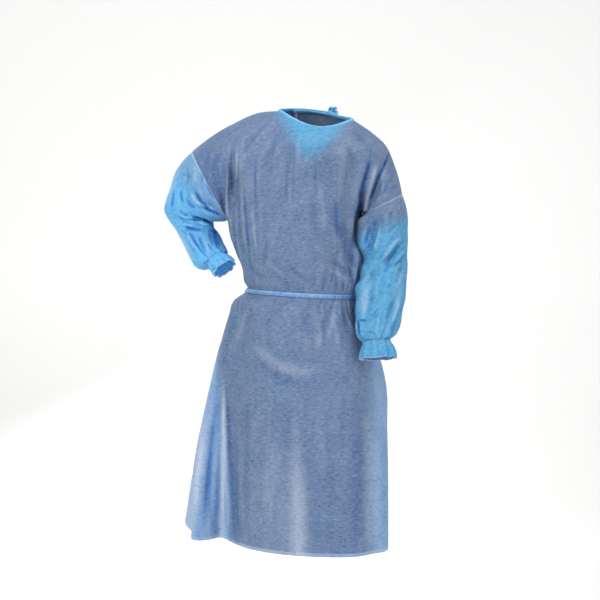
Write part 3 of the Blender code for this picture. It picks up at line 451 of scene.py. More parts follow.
# A crease's line in straight steps, how many widths away it is felt, the share of its
# length over which it fades at an end, its width there and what its middle has more, and
# the lips beside it: height as a share of its own, then place and width in its widths
LINE_STEPS = 10
CREASE_REACH = 4
END_FADE = 0.32
END_WIDTH = 0.55
MIDDLE_WIDER = 0.45
LIP_SHARE = 0.28
LIP_AT = 2.0
LIP_WIDTH = 0.8
BODY_CREASING = 0.65
# Slow unevenness of the cloth: its lattice's size, then height, cell and seed. Front and
# back are shifted apart in it. The body's creases fade over some columns and rows at its
# edges, and at the belt.
LATTICE = 64
BODY_WANDER = ((1.4, 74, 41), (0.4, 31, 42))
SLEEVE_WANDER = ((1.2, 42, 0), (0.4, 19, 1))
BODY_SHIFT = 7
BODY_HOLD = 4
BELT_SMOOTH = 16.0
# Where the front and the back view of creases give way to each other
FACING_FROM = 0.05
FACING_OVER = 0.5
# Side seams pucker: height, how much slower along the seam, cell, seed and rows left plain
PUCKER = 0.7
PUCKER_SLOWER = 0.3
PUCKER_CELL = 9
PUCKER_SEED = 44
PUCKER_END = 6

# Small buckles of the crisp cloth, scattered over a stretch of the front or back view
Scatter = namedtuple("Scatter", "seed count left right low high heading spread short long narrow wide out")
FRONT_BUCKLES = table(Scatter, (
    (11, 60, -190, 150, 20, 400, 12, 28, 22, 70, 3.5, 7, 1.0),
    (12, 70, -230, 210, -600, 0, 6, 22, 30, 110, 4, 8, 0.9),
    (13, 26, -190, 140, 20, 300, 78, 22, 18, 50, 3.5, 6, 0.8),
    (14, 26, -220, 200, -560, -20, 82, 24, 20, 60, 4, 7, 0.7),
))
LEFT_SLEEVE_BUCKLES = table(Scatter, (
    (21, 34, -325, -185, 80, 330, 125, 30, 14, 40, 3, 5.5, 2.0),
))
RIGHT_SLEEVE_BUCKLES = table(Scatter, (
    (22, 40, 145, 262, -100, 230, 22, 32, 16, 48, 3, 6, 1.9),
))
BACK_BUCKLES = table(Scatter, (
    (31, 70, -230, 150, -400, -60, 8, 28, 24, 80, 4, 7, 1.5),
    (32, 90, -290, 180, -1040, -450, 4, 22, 30, 120, 4, 8, 1.4),
    (33, 40, -230, 150, -900, -80, 80, 24, 20, 60, 4, 7, 1.2),
))
SLEEVE_BACK_BUCKLES = table(Scatter, (
    (34, 30, -370, -220, -360, -120, 60, 40, 14, 44, 3, 6, 1.8),
    (35, 34, 100, 225, -530, -220, 40, 40, 14, 44, 3, 6, 1.8),
))
# A buckle's bow, its least and greatest share of the depth, how many are troughs and
# how high the others stand
BUCKLE_BOW = 0.22
BUCKLE_SHARES = (0.4, 1.3)
BUCKLE_TROUGHS = 0.7
BUCKLE_RIDGE = -0.8

# Gathers that the belt draws in: their seed, how many are drawn, the least and greatest
# turn between two, their depth and how it varies, their reach and how much further it is
# below the belt, their lean, width and widening, and shares of the depth at turns
GATHER_SEED = 5
GATHER_DRAWS = 64
GATHER_NEAR = 0.05
GATHER_FAR = 0.12
GATHER_DEPTH = 7.5
GATHER_VARIES = (0.45, 1.1)
GATHER_REACH = (14, 34)
GATHER_BELOW = 1.5
GATHER_LEAN = 0.0007
GATHER_WIDTH = 3.4
GATHER_WIDENS = 2.6
GATHER_KNOTS = (0.0, 0.5, 0.9, 1.2, 1.5, 2.0, 2.25, 2.6, 3.0, 3.4, 4.0)
GATHER_SHARES = (0.8, 1.0, 0.8, 0.9, 0.35, 0.3, 0.8, 1.1, 0.9, 0.9, 0.8)

# Trim: how a tape's width and thickness vary, over what length, and how its edges get painted highlight and
# painted shade, and then the sizes of each tape and knot
TAPE_CELL = 7.0
TAPE_WIDTH_VARIES = 0.04
TAPE_THICKNESS_VARIES = 0.16
TAPE_ENDS = 0.2
TAPE_EDGE_HIGHLIGHT = 0.8
TAPE_EDGE_SHADE = 0.7
TAPE_HIGHLIGHT_FROM = 0.2
TAPE_SHADE_FROM = 0.3
TAPE_SHADE_OVER = 0.5
TAPE_THICK = 1.5
BINDING_HEIGHT = 6.0
BINDING_WALL = 2.6
BINDING_LEAN = 0.9
BINDING_GRIP = 2.6
BINDING_SET_IN = 0.75
SEAM_GAP = 0.4
BELT_LIFT = 0.4
BELT_SHOWN = 11.0
# Painted shade on the belt, darker towards the right: how much, from which x and over how many millimetres
BELT_RIGHT_SHADE = 0.5
BELT_SHADE_FROM = 10
BELT_SHADE_OVER = 70
TIE_WIDTH = 12.0
KNOT_SIZE = Point(24, 12, 17)
KNOT_TAPE = np.array((2.4, 1.6, 2.4))
KNOT_SHARE = 0.5625
KNOT_OUT = 9.5
NECK_KNOT_OUT = 12.0
KNOT_COLUMNS = 6
KNOT_STEPS = 120
KNOT_TWIST = 1.3
KNOT_FACE = np.array((0.4, 1.6, 0.4))
KNOT_BACK = np.array((0.0, 0.5, 0.0))
WAIST_TIE_LENGTH = 230.0
NECK_TIE_LENGTH = 120.0
TIE_SPLAY = 0.17
TIE_FALL = 0.35
TIE_STEPS = 46
TIE_CLEAR = 1.3
TIE_PROBES = (-6.0, 0.0, 6.0)
TIE_TURN = 0.25
TIE_TURNS = 5.0
# Where a tie leaves its knot: x outward, y and z from the knot's middle
NECK_TIE_AT = Point(6.6, 5.0, -3.5)
WAIST_TIE_AT = Point(6.6, 0.0, -6.5)
FAR_BEHIND = 900.0
# Cross-sections: low and high edge, thickness and number of points
BINDING_LOOP = (-BINDING_GRIP, BINDING_HEIGHT + SEAM_GAP, BINDING_WALL, 20)
BELT_LOOP = (-BELT_SHOWN / 2, BELT_SHOWN / 2, TAPE_THICK, 18)
TIE_LOOP = (-TIE_WIDTH / 2, TIE_WIDTH / 2, TAPE_THICK, 14)
KNOT_LOOP = (-3.4, 3.4, 3.2, 12)
# Seeds of the binding, the belt and their ties
BINDING_SEED = 71
NECK_TIE_SEED = 72
BELT_SEED = 81
WAIST_TIE_SEED = 82
# Cut widths and lengths in metres
BINDING_FLAT = (0.0125, 0.50)
BELT_FLAT = (0.0145, 0.82)
NECK_TIE_FLAT = (0.0135, 0.125)
WAIST_TIE_FLAT = (0.0135, 0.235)

# Stitching: pitch and radius of each kind, and where it lies: the hem's and the cuff's
# row, columns in from the back opening's edges, how far below the neck's edge and in from
# the belt's, and how far the neck's stands off. Then for one stitch the shares of its
# length and its thickness and dip there in radii.
HEM_STITCHES = (3.5, 0.24)
NECK_STITCHES = (3.2, 0.2)
BELT_STITCHES = (3.4, 0.2)
CUFF_STITCHES = (3.4, 0.2)
HEM_STITCH_ROW = 2
OPENING_STITCH_COLUMNS = 2
NECK_STITCH_BELOW = 0.8
BELT_STITCH_IN = 1.6
CUFF_STITCH_ROW = 4
STITCH_LIFT = 0.05
STITCH_SHARES = np.array((0.0, 0.2, 0.8, 1.0))
STITCH_FAT = np.array((0.25, 1.0, 1.0, 0.25))
STITCH_DIP = np.array((-0.8, 0.35, 0.35, -0.8))

# The brightest that a shaded colour gets, and how much brighter a tape's edge is painted, a painted highlight
BRIGHTEST = 0.92
TAPE_HIGHLIGHT_BRIGHTER = 1.5

# The camera: where the photograph was taken from, in millimetres, its picture, and how
# far it sees, in metres
CAMERA_AT = Point(-38.0, -3200.0, -277.0)
CAMERA_TILT = math.radians(3.07)
PICTURE_SIZE = 600
PICTURE_FOCUS = 1306.0
CAMERA_REACH = 60.0
FLOOR_HEIGHT = -1430.0
# The paper floor: its near edge, where its columns change, where and how far it bends up,
# its top and its half width, and the steps of the bend and the lines across
PAPER_NEAR = -6000.0
PAPER_MIDDLE = -2000.0
PAPER_BEND_AT = 2200.0
PAPER_BEND = 900.0
PAPER_TOP = 5200.0
PAPER_HALF = 7000.0
PAPER_BEND_STEPS = 24
PAPER_LINES = 9
# Soft lights: place, aim, size in metres, power in watts and colour
LIGHTS = (
    ("key", (-2.6, -2.8, 1.3), (0.0, 0.0, -0.5), 1.3, 84.0, (1.0, 0.99, 0.97)),
    ("fill", (2.6, -3.0, 0.4), (0.0, 0.0, -0.5), 2.2, 50.0, (0.99, 0.99, 1.0)),
    ("top", (0.3, -0.6, 2.4), (0.0, 0.0, -0.5), 1.4, 34.0, (1.0, 1.0, 1.0)),
    ("behind", (-1.2, 2.2, 0.4), (-0.1, 0.0, -0.7), 1.6, 40.0, (1.0, 1.0, 1.0)),
)
# What differs between the sleeves. armhole is its depth, drawn how deep a crease takes the deepest painted
# shade, free how free the cloth is at the armhole and bright how much brighter its colours are painted:
# painted light, which makes the left one, held out from the body, look more lit. flat and area are the
# sleeve's cut in metres, cuff_flat the cuff's.
Side = namedtuple(
    "Side", "name mirror rings cuff bends billows creases bands buckles armhole drawn free bright seed "
    "cuff_seed flat area cuff_flat")
SIDES = (
    Side("left", -1.0, LEFT_SLEEVE, LEFT_CUFF, LEFT_BENDS, (), LEFT_SLEEVE_CREASES, LEFT_SLEEVE_SHADING_BANDS,
         LEFT_SLEEVE_BUCKLES, LEFT_ARMHOLE_DEPTH, 5.5, 0.4, 1.32, 51, 61, (0.40, 0.30), 0.110, (0.24, 0.036)),
    Side("right", 1.0, RIGHT_SLEEVE, RIGHT_CUFF, RIGHT_BENDS, RIGHT_BILLOWS, RIGHT_SLEEVE_CREASES,
         RIGHT_SLEEVE_SHADING_BANDS, RIGHT_SLEEVE_BUCKLES, RIGHT_ARMHOLE_DEPTH, 9.0, 0.0, 1.0, 54, 64, (0.42, 0.36),
         0.135, (0.26, 0.046)),
)
SLEEVE_NEAR = 0.9
# The body's creases, buckles and bands of painted shade and painted highlight, of the front, side -1, and of
# the back, side 1
BODY_LINES = {
    -1: (FRONT_CREASES, FRONT_BUCKLES, FRONT_SHADING_BANDS),
    1: (BACK_CREASES, BACK_BUCKLES, BACK_SHADING_BANDS),
}


def soft_step(value):
    """0 below 0, 1 above 1, and a smooth S between."""
    value = np.clip(value, 0.0, 1.0)
    return value * value * (3.0 - 2.0 * value)


def faded(share, start, end):
    """1 along a run from 0 to 1, falling softly to 0 over a share at its start and at its end."""
    return soft_step(share / start) * soft_step((1 - share) / end)


def through(knots, values, at):
    """Cubic Hermite curve through the values, its slopes taken from the neighbouring knots."""
    knots = np.asarray(knots, float)
    values = np.asarray(values, float)
    at = np.clip(np.asarray(at, float), knots[0], knots[-1])
    slopes = np.gradient(values, knots, axis=0)
    low = np.clip(np.searchsorted(knots, at, side="right") - 1, 0, len(knots) - 2)
    span = knots[low + 1] - knots[low]
    t = (at - knots[low]) / span
    if values.ndim > 1:
        span = span[:, None]
        t = t[:, None]
    start = values[low] * (1 + 2 * t) * (1 - t) ** 2 + values[low + 1] * t * t * (3 - 2 * t)
    bend = slopes[low] * t * (1 - t) ** 2 + slopes[low + 1] * t * t * (t - 1)
    return start + bend * span


def run_along(points):
    """Length along a line of points, up to each of them."""
    steps = np.linalg.norm(np.diff(points, axis=0), axis=1)
    return np.concatenate(([0.0], np.cumsum(steps)))


def along_points(points, shares):
    """Curve through the points, read at shares of its chord length."""
    points = np.array(points, float)
    knots = run_along(points)
    return through(knots / knots[-1], points, shares)


def unit(vectors):
    """Each vector at length 1."""
    return vectors / np.maximum(np.linalg.norm(vectors, axis=-1, keepdims=True), 1e-9)


def grid_normals(points, closed=False):
    """Normal at each point of a grid: the cross product of its two central differences."""
    if closed:
        wide = np.concatenate((points[:, -1:], points, points[:, :1]), axis=1)
        across = np.gradient(wide, axis=1)[:, 1:-1]
    else:
        across = np.gradient(points, axis=1)
    along = np.gradient(points, axis=0)
    return unit(np.cross(across, along))


def wander(u, v, cell, seed):
    """Smooth random heights from -1 to 1: a seeded lattice, a cell apart, blended with soft steps."""
    lattice = np.random.default_rng(seed).uniform(-1, 1, (LATTICE, LATTICE))
    row, column = np.floor(u / cell).astype(int), np.floor(v / cell).astype(int)
    s, t = soft_step(u / cell - row), soft_step(v / cell - column)

    def corner(down, over):
        """Heights at one corner of each point's cell."""
        return lattice[(row + down) % LATTICE, (column + over) % LATTICE]

    low = corner(0, 0) * (1 - t) + corner(0, 1) * t
    high = corner(1, 0) * (1 - t) + corner(1, 1) * t
    return low * (1 - s) + high * s


def uneven(push, u, v, runs, seed=0):
    """A push with smooth random heights added: each run gives height, cell and seed."""
    for height, cell, own_seed in runs:
        push = push + height * wander(u, v, cell, seed + own_seed)
    return push


def front_view(points):
    """Where points stand in the front view: their perspective picture on the plane through the origin."""
    beside = points[..., 0] - CAMERA_AT.x
    ahead = points[..., 1] - CAMERA_AT.y
    above = points[..., 2] - CAMERA_AT.z
    forward = ahead * math.cos(CAMERA_TILT) - above * math.sin(CAMERA_TILT)
    up = ahead * math.sin(CAMERA_TILT) + above * math.cos(CAMERA_TILT)
    return np.stack((beside, up), axis=-1) * (-CAMERA_AT.y / forward)[..., None]


def crease_push(flat, creases):
    """How far creases push the points of a flat view.

    Each is a trough or ridge across its line, with lips of the other sign beside it, and
    it narrows and fades towards both ends.
    """
    total = np.zeros(flat.shape[:-1])
    for crease in creases:
        line = along_points(crease.path, np.linspace(0, 1, LINE_STEPS + 1))
        reach = CREASE_REACH * crease.width
        inside = ((flat > line.min(axis=0) - reach) & (flat < line.max(axis=0) + reach)).all(axis=-1)
        spots = flat[inside]
        if not len(spots):
            continue
        start, step = line[:-1, None], np.diff(line, axis=0)[:, None]
        length = np.linalg.norm(step, axis=-1)
        offset = spots[None] - start
        share = np.clip((offset * step).sum(axis=-1) / length ** 2, 0, 1)
        distance = np.linalg.norm(offset - share[..., None] * step, axis=-1)
        best = distance.argmin(axis=0)
        pick = (best, np.arange(len(spots)))
        run = (np.cumsum(length) - length[:, 0])[best] + share[pick] * length[best, 0]
        run = run / length.sum()
        fade = faded(run, END_FADE, END_FADE)
        off = distance[pick] / (crease.width * (END_WIDTH + MIDDLE_WIDER * fade))
        bell = np.exp(-off ** (2 - crease.sharp))
        lip = np.exp(-((off - LIP_AT) / LIP_WIDTH) ** 2)
        total[inside] += crease.out * fade * (bell - LIP_SHARE * lip)
    return total


def painted_crease_shade(flat, creases, depth):
    """How much painted shade, up to 1, or painted highlight, down to -1, the cloth gets along its creases:
    narrow ones show most.
    """
    lines = [
        crease._replace(
            width=max(DRAWN_FINEST, DRAWN_SHARE * crease.width),
            out=crease.out * min(1.0, DRAWN_WIDTH / crease.width))
        for crease in creases
    ]
    return np.clip(-crease_push(flat, lines) / depth, -1, 1)


def scattered(runs):
    """Small random creases: each run's own seed places, turns, bends and sizes them."""
    found = []
    for run in runs:
        draw = np.random.default_rng(run.seed)
        middle = draw.uniform((run.left, run.low), (run.right, run.high), (run.count, 2))
        angle = np.radians(run.heading + draw.normal(0, run.spread, run.count))
        half = draw.uniform(run.short, run.long, run.count)[:, None] / 2
        bow = draw.normal(0, BUCKLE_BOW, run.count)[:, None] * half
        line = np.stack((np.sin(angle), np.cos(angle)), axis=1)
        side = np.stack((line[:, 1], -line[:, 0]), axis=1)
        paths = np.stack((middle - line * half, middle + side * bow, middle + line * half), axis=1)
        width = draw.uniform(run.narrow, run.wide, run.count)
        out = -run.out * draw.uniform(*BUCKLE_SHARES, run.count)
        out = out * np.where(draw.random(run.count) < BUCKLE_TROUGHS, 1, BUCKLE_RIDGE)
        found += [Crease(w, o, 0.5, p) for w, o, p in zip(width, out, paths)]
    return tuple(found)


def section_at(heights):
    """The body's section values at each point's height."""
    knots = [section.height for section in BODY_SECTIONS]
    rows = through(knots, BODY_SECTIONS, heights.ravel())
    return Section(*[column.reshape(heights.shape) for column in rows.T])


def level_heights():
    """Heights of the level rows, from the hem to the underarm."""
    runs = [np.linspace(run.low, run.high, round((run.high - run.low) / run.step), endpoint=False)
            for run in ROW_RUNS]
    hem = np.linspace(HEM_HEIGHT, HEM_HEIGHT + HEM_WIDTH, 3, endpoint=False)
    return np.concatenate([hem, *runs, [UNDERARM_HEIGHT]])


def level_rows(heights, across):
    """The height of every point of a grid whose rows are level."""
    return np.repeat(np.array(heights, float)[:, None], len(across), axis=1)


def armhole_climb(rises):
    """How far up an armhole's half ring stands: an ellipse whose bottom is slightly pointed."""
    return (1 - np.cos(math.pi * rises)) / 2 + ARMHOLE_POINTED * rises * (1 - rises) ** 2


def fold_push(turn, height, quarter):
    """How far the long folds stand out, slide round and lift: a bell across each, faded at both ends."""
    total = np.zeros(np.broadcast(turn, height).shape)
    slide = np.zeros_like(total)
    lift = np.zeros_like(total)
    for fold in BODY_FOLDS:
        share = np.clip((fold.top - height) / (fold.top - fold.low), 0.0, 1.0)
        centre = fold.top_turn + (fold.low_turn - fold.top_turn) * share
        apart = ((turn - centre + 2.0) % 4.0 - 2.0) * quarter
        ends = soft_step((fold.top - height) / FOLD_FADE) * soft_step((height - fold.low) / FOLD_FADE)
        out = fold.top_out + (fold.low_out - fold.top_out) * share
        bell = ends * np.exp(-((apart / fold.width) ** 2))
        total += out * bell
        slide += fold.slide * share * bell
        lift += fold.lift * share * bell
    belt = 1.0 - np.exp(-(((height - BELT_HEIGHT) / (BELT_FADE * BELT_WIDTH)) ** 4))
    return total * belt, slide * belt, lift * belt


def gather_push(turn, height, quarter):
    """Pleats that spread from the belt: bells across, which grow, widen and fade away from it."""
    draw = np.random.default_rng(GATHER_SEED)
    places = np.cumsum(draw.uniform(GATHER_NEAR, GATHER_FAR, GATHER_DRAWS))
    places = places[places < 4.0 - GATHER_NEAR]
    total = np.zeros(np.broadcast(turn, height).shape)
    away = np.abs(height - BELT_HEIGHT) - BELT_WIDTH / 2
    for place in places:
        reach = draw.uniform(*GATHER_REACH, 2)
        lean = draw.normal(0, GATHER_LEAN, 2)
        depth = -GATHER_DEPTH * draw.uniform(*GATHER_VARIES) * np.interp(place, GATHER_KNOTS, GATHER_SHARES)
        above = height > BELT_HEIGHT
        far = np.clip(np.where(above, away / reach[0], away / (GATHER_BELOW * reach[1])), 0, None)
        centre = place + np.where(above, lean[0], lean[1]) * away
        apart = ((turn - centre + 2.0) % 4.0 - 2.0) * quarter
        width = GATHER_WIDTH + GATHER_WIDENS * far
        total += depth * far * np.exp(1 - far) * np.exp(-((apart / width) ** 2))
    return total


def lower_rows(side, across, heights, folded=True):
    """Rows below the underarm: sheared superellipses, with the folds pushed along their normals."""
    part = section_at(heights)
    middle = (part.left + part.right) / 2
    half = (part.right - part.left) / 2
    deep = (part.front if side < 0 else part.back) - SIDE_SEAM_Y
    cosine = np.cos(math.pi * across)
    sine = np.sin(math.pi * across)
    lean = np.sign(cosine) * np.abs(cosine) ** (2 / part.square)
    bulge = np.abs(sine) ** (2 / part.square)
    x = middle - half * lean
    y = SIDE_SEAM_Y + deep * bulge + part.skew * lean
    z = part.height - part.tilt * lean / 2
    out_y = bulge / deep
    out_x = -lean / half + part.skew / half * out_y
    out = unit(np.stack((out_x, out_y, np.zeros_like(x)), axis=-1))
    points = np.stack(np.broadcast_arrays(x, y, z), axis=-1)
    if not folded:
        return points, out
    turn = 1.0 - 2.0 * side * across
    quarter = QUARTER_SHARE * (half + np.abs(deep))
    push, slide, lift = fold_push(turn, z, quarter)
    push = push + gather_push(turn % 4.0, z, quarter)
    round_way = np.stack((-out[..., 1], out[..., 0], out[..., 2]), axis=-1)
    points += out * push[..., None] + round_way * slide[..., None]
    points[..., 2] += lift
    return points, out


def neck_edge(side, share):
    """Half of the neck's edge: near a half ellipse in plan, it drops in front and rises behind."""
    left = np.array(LEFT_SHOULDER[-1], float)
    right = np.array(RIGHT_SHOULDER[0], float)
    swing = np.sin(math.pi * share)
    along = (1 - NECK_POINTED) * (1 - np.cos(math.pi * share)) / 2 + NECK_POINTED * share
    points = left + (right - left) * along[:, None]
    depth = -NECK_FRONT_DEPTH if side < 0 else NECK_BACK_DEPTH
    lift = -NECK_FRONT_DROP if side < 0 else NECK_BACK_RISE
    points[:, 1] += depth * swing
    points[:, 2] += lift * swing ** NECK_LIFT_POWER
    return points


def top_row(side, across):
    """Top edge of a panel: left shoulder seam, neck, right shoulder seam."""
    left_end = LEFT_SHOULDER_SHARE
    right_start = 1 - RIGHT_SHOULDER_SHARE
    left = along_points(LEFT_SHOULDER, across / left_end)
    right = along_points(RIGHT_SHOULDER, (across - right_start) / RIGHT_SHOULDER_SHARE)
    neck = neck_edge(side, np.clip((across - left_end) / (right_start - left_end), 0, 1))
    row = np.where((across < left_end)[:, None], left, neck)
    return np.where((across > right_start)[:, None], right, row)


def upper_rows(side, across, rises):
    """Rows from the underarm to the top edge.

    Each column rises along a quarter of an ellipse from its underarm point to its top
    point. The end columns are moved on to the armhole's half ring, and their neighbours
    follow them less and less.
    """
    base, out = lower_rows(side, across, level_rows((UNDERARM_HEIGHT,), across), folded=False)
    base = base[0]
    top = top_row(side, across)
    edge_climb = armhole_climb(rises)[:, None]
    inside = soft_step(np.minimum(across, 1 - across) / CLIMB_BLEND)
    climb = edge_climb * (1 - inside) + np.sin(math.pi * rises / 2)[:, None] * inside
    points = np.empty((len(rises), len(across), 3))
    for axis in (0, 2):
        points[..., axis] = base[:, axis] + (top[:, axis] - base[:, axis]) * climb
    points[..., 1] = top[:, 1] + (base[:, 1] - top[:, 1]) * np.sqrt(1 - climb ** 2)
    swing = np.sin(math.pi * rises)[:, None]
    for column, depth, share in (
        (0, LEFT_ARMHOLE_DEPTH, 1 - across), (-1, RIGHT_ARMHOLE_DEPTH, across),
    ):
        line = base[column, 1] + (top[column, 1] - base[column, 1]) * edge_climb
        softer = swing ** (1 + ARMHOLE_SOFTER * soft_step((1 - share) / ARMHOLE_BLEND))
        shift = line - points[:, column, 1:2] + side * depth * softer
        points[..., 1] += shift * share ** ARMHOLE_SPREAD
    rise = soft_step(rises / NORMAL_FADE)[:, None, None]
    normals = unit(out[0] * (1 - rise) - side * grid_normals(points) * rise)
    edge = faded(across, EDGE_FADE, EDGE_FADE)
    hold = 1 - soft_step(rises / UNDERARM_FADE)[:, None] * (1 - edge)
    hold = hold * soft_step((1 - rises) / TOP_FADE)[:, None]
    half = (base[-1, 0] - base[0, 0]) / 2
    depth = BODY_SECTIONS[-1].front if side < 0 else BODY_SECTIONS[-1].back
    quarter = QUARTER_SHARE * (half + abs(depth - SIDE_SEAM_Y))
    push = fold_push(1.0 - 2.0 * side * across, points[..., 2], quarter)[0] * hold
    points[1:] += (normals * push[..., None])[1:]
    return points


def edge_hold(rows, columns, near):
    """1 inside a grid and 0 at its side and top edges, over so many columns and rows."""
    column = np.arange(columns)
    row = np.arange(rows)[:, None]
    sides = soft_step(np.minimum(column, columns - 1 - column) / near)
    return sides * soft_step((rows - 1 - row) / near)


def flat_view(side, points):
    """The body's points in the front view, side -1, or as x and z behind, side 1."""
    return front_view(points) if side < 0 else points[..., (0, 2)]


@lru_cache(maxsize=None)
def body_surface(side, strength):
    """The finished outer surface of the front, side -1, or of the whole back, side 1."""
    heights = level_heights()
    low, _ = lower_rows(side, ACROSS, level_rows(heights, ACROSS))
    points = np.concatenate((low, upper_rows(side, ACROSS, np.linspace(0, 1, RISES + 1))[1:]))
    normals = -side * grid_normals(points)
    hold = edge_hold(*points.shape[:2], BODY_HOLD)
    belt = 1 - np.exp(-(((points[..., 2] - BELT_HEIGHT) / BELT_SMOOTH) ** 4))
    creases, buckles, _ = BODY_LINES[side]
    facing = soft_step((side * normals[..., 1] + FACING_FROM) / FACING_OVER)
    push = BODY_CREASING * crease_push(flat_view(side, points), creases + scattered(buckles)) * facing
    u, v = points[..., 0] + BODY_SHIFT * side, points[..., 2]
    push = uneven(push, u, v, BODY_WANDER)
    points = points + normals * (push * hold * belt * strength)[..., None]
    pucker = PUCKER * wander(v, v * PUCKER_SLOWER, PUCKER_CELL, PUCKER_SEED) * strength
    level = slice(0, len(heights) - PUCKER_END)
    for column in (0, -1):
        points[level, column, 0] += np.sign(points[level, column, 0]) * pucker[level, column]
    return points


def arc_lengths(points, closed):
    """Lengths across and along the cloth at each point, for its texture, in metres."""
    if closed:
        points = np.concatenate((points, points[:, :1]), axis=1)
    across = np.linalg.norm(np.diff(points, axis=1), axis=-1)
    along = np.linalg.norm(np.diff(points, axis=0), axis=-1)
    u = np.concatenate((np.zeros((len(points), 1)), np.cumsum(across, axis=1)), axis=1)
    v = np.concatenate((np.zeros((1, points.shape[1])), np.cumsum(along, axis=0)))
    middle = u[:, u.shape[1] // 2][:, None]
    return np.stack((u - middle, v), axis=-1) * MM


def hollowness(points, normals, closed):
    """From -1 on a ridge to 1 in a trough: how far each point lies behind the mean of its neighbours."""
    rows, columns = points.shape[:2]
    total = np.zeros((rows, columns))
    for cells in HOLLOW_CELLS:
        turns = (np.arange(columns) - cells, np.arange(columns) + cells)
        turns = [turn % columns if closed else np.clip(turn, 0, columns - 1) for turn in turns]
        steps = [np.clip(np.arange(rows) + step, 0, rows - 1) for step in (-cells, cells)]
        near = (points[:, turns[0]] + points[:, turns[1]] + points[steps[0]] + points[steps[1]]) / 4
        total += ((near - points) * normals).sum(axis=-1) / cells
    return np.tanh(total / HOLLOW_DEPTH)


def as_cloth(points, normals, near=0.0, free=0.0, closed=False, drawn=0.0):
    """A grid of points, outward normals and how doubled, close-lying and free the cloth is, with painted
    shade in its hollows and painted highlight on its ridges.
    """
    # Painted shade in the cloth's troughs and painted highlight on its ridges, with the painted shading along
    # drawn creases
    hollow = HOLLOW_SHADE_SHARE * hollowness(points, normals, closed) + drawn
    looks = np.stack(np.broadcast_arrays(0.0, near, free, hollow), axis=-1)
    return np.concatenate((points, normals, looks), axis=-1)


def nearness(points):
    """How close the body's cloth lies, and how far it lies free below the neck."""
    x, z = points[..., 0], points[..., 2]
    heights, lefts, rights = np.array(NEAR_EDGES, float).T
    left = soft_step((x - np.interp(z, heights, lefts)) / NEAR_SOFT_LEFT)
    right = soft_step((np.interp(z, heights, rights) - x) / NEAR_SOFT_RIGHT)
    heights, *columns = np.array(NECK_FREE).T
    middle, half, most = (np.interp(z, heights, column) for column in columns)
    neck = soft_step((half - np.abs(x - middle)) / NECK_SOFT) * most
    return left * right, neck * (points[..., 1] < 0)


def dyed(cloth, colours):
    """Colour of the cloth at each point.

    It is the first colour where the cloth lies close, the second where it stands away,
    the third where it is free and the fourth where it is doubled or, on a tape, under its
    edge's painted highlight. It is painted deeper and bluer in a trough, painted shade,
    and paler along a ridge, a painted highlight.
    """
    body, edges, sleeve, seam = (np.array(tuple(colour)[:3]) for colour in colours)
    layers, near, free, hollow = (cloth[..., channel, None] for channel in (DOUBLED_OR_HIGHLIT, NEAR, FREE, SHADE_AND_HIGHLIGHT))
    tint = edges + (body - edges) * near
    tint = tint + (sleeve - tint) * free
    tint = tint + (seam - tint) * layers
    # Painted shade: deeper and bluer in troughs; painted highlight: paler along ridges
    deep = tint * np.array(SHADE_TINT)
    pale = tint + (np.array(linear(HIGHLIGHT_COLOUR)[:3]) - tint) * HIGHLIGHT_SHARE
    deeper, paler = np.clip(hollow, 0, MOST_SHADE), np.clip(-hollow, 0, MOST_HIGHLIGHT)
    tint = tint + (deep - tint) * deeper + (pale - tint) * paler
    return np.concatenate((tint, np.ones_like(layers)), axis=-1)


def turn_edge(cloth, end, steps, share=1.0):
    """Turn an edge of the cloth inward.

    Each step adds a row or column that lies so far in along the normal and so far back
    over the cloth.
    """
    turned = end in ("left", "right")
    last = end in ("right", "high")
    grid = cloth.transpose(1, 0, 2) if turned else cloth
    grid = grid[::-1] if last else grid
    edge = grid[0]
    back = unit(grid[2, :, :3] - edge[:, :3])
    rows = np.repeat(edge[None], len(steps), axis=0)
    deep, over = np.array(steps, float).T[:, :, None, None]
    rows[..., :3] += (back * over - edge[:, 3:6] * deep) * share
    rows[..., DOUBLED_OR_HIGHLIT] = 1.0
    grid = np.concatenate((rows[::-1], grid))
    grid = grid[::-1] if last else grid
    return grid.transpose(1, 0, 2) if turned else grid


def grid_faces(rows, columns, closed_across, closed_along):
    """Row and column of each corner of a grid's quads; a closed grid's last ones run past its end."""
    row = np.arange(rows if closed_along else rows - 1)[:, None]
    column = np.arange(columns if closed_across else columns - 1)[None, :]
    corners = ((row, column), (row, column + 1), (row + 1, column + 1), (row + 1, column))
    places = np.stack([np.stack(np.broadcast_arrays(*corner), axis=-1) for corner in corners], axis=2)
    return places.reshape(-1, 4, 2)


def add_object(name, data):
    """Put a mesh, a light or a camera into the scene."""
    item = bpy.data.objects.new(name, data)
    bpy.context.scene.collection.objects.link(item)
    return item


def link_piece(name, mesh, material):
    """Put a mesh into the scene as a piece that rides on the gown's one body."""
    mesh.shade_smooth()
    mesh.materials.append(material)
    piece = add_object(name, mesh)
    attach(piece, "root")
    return piece


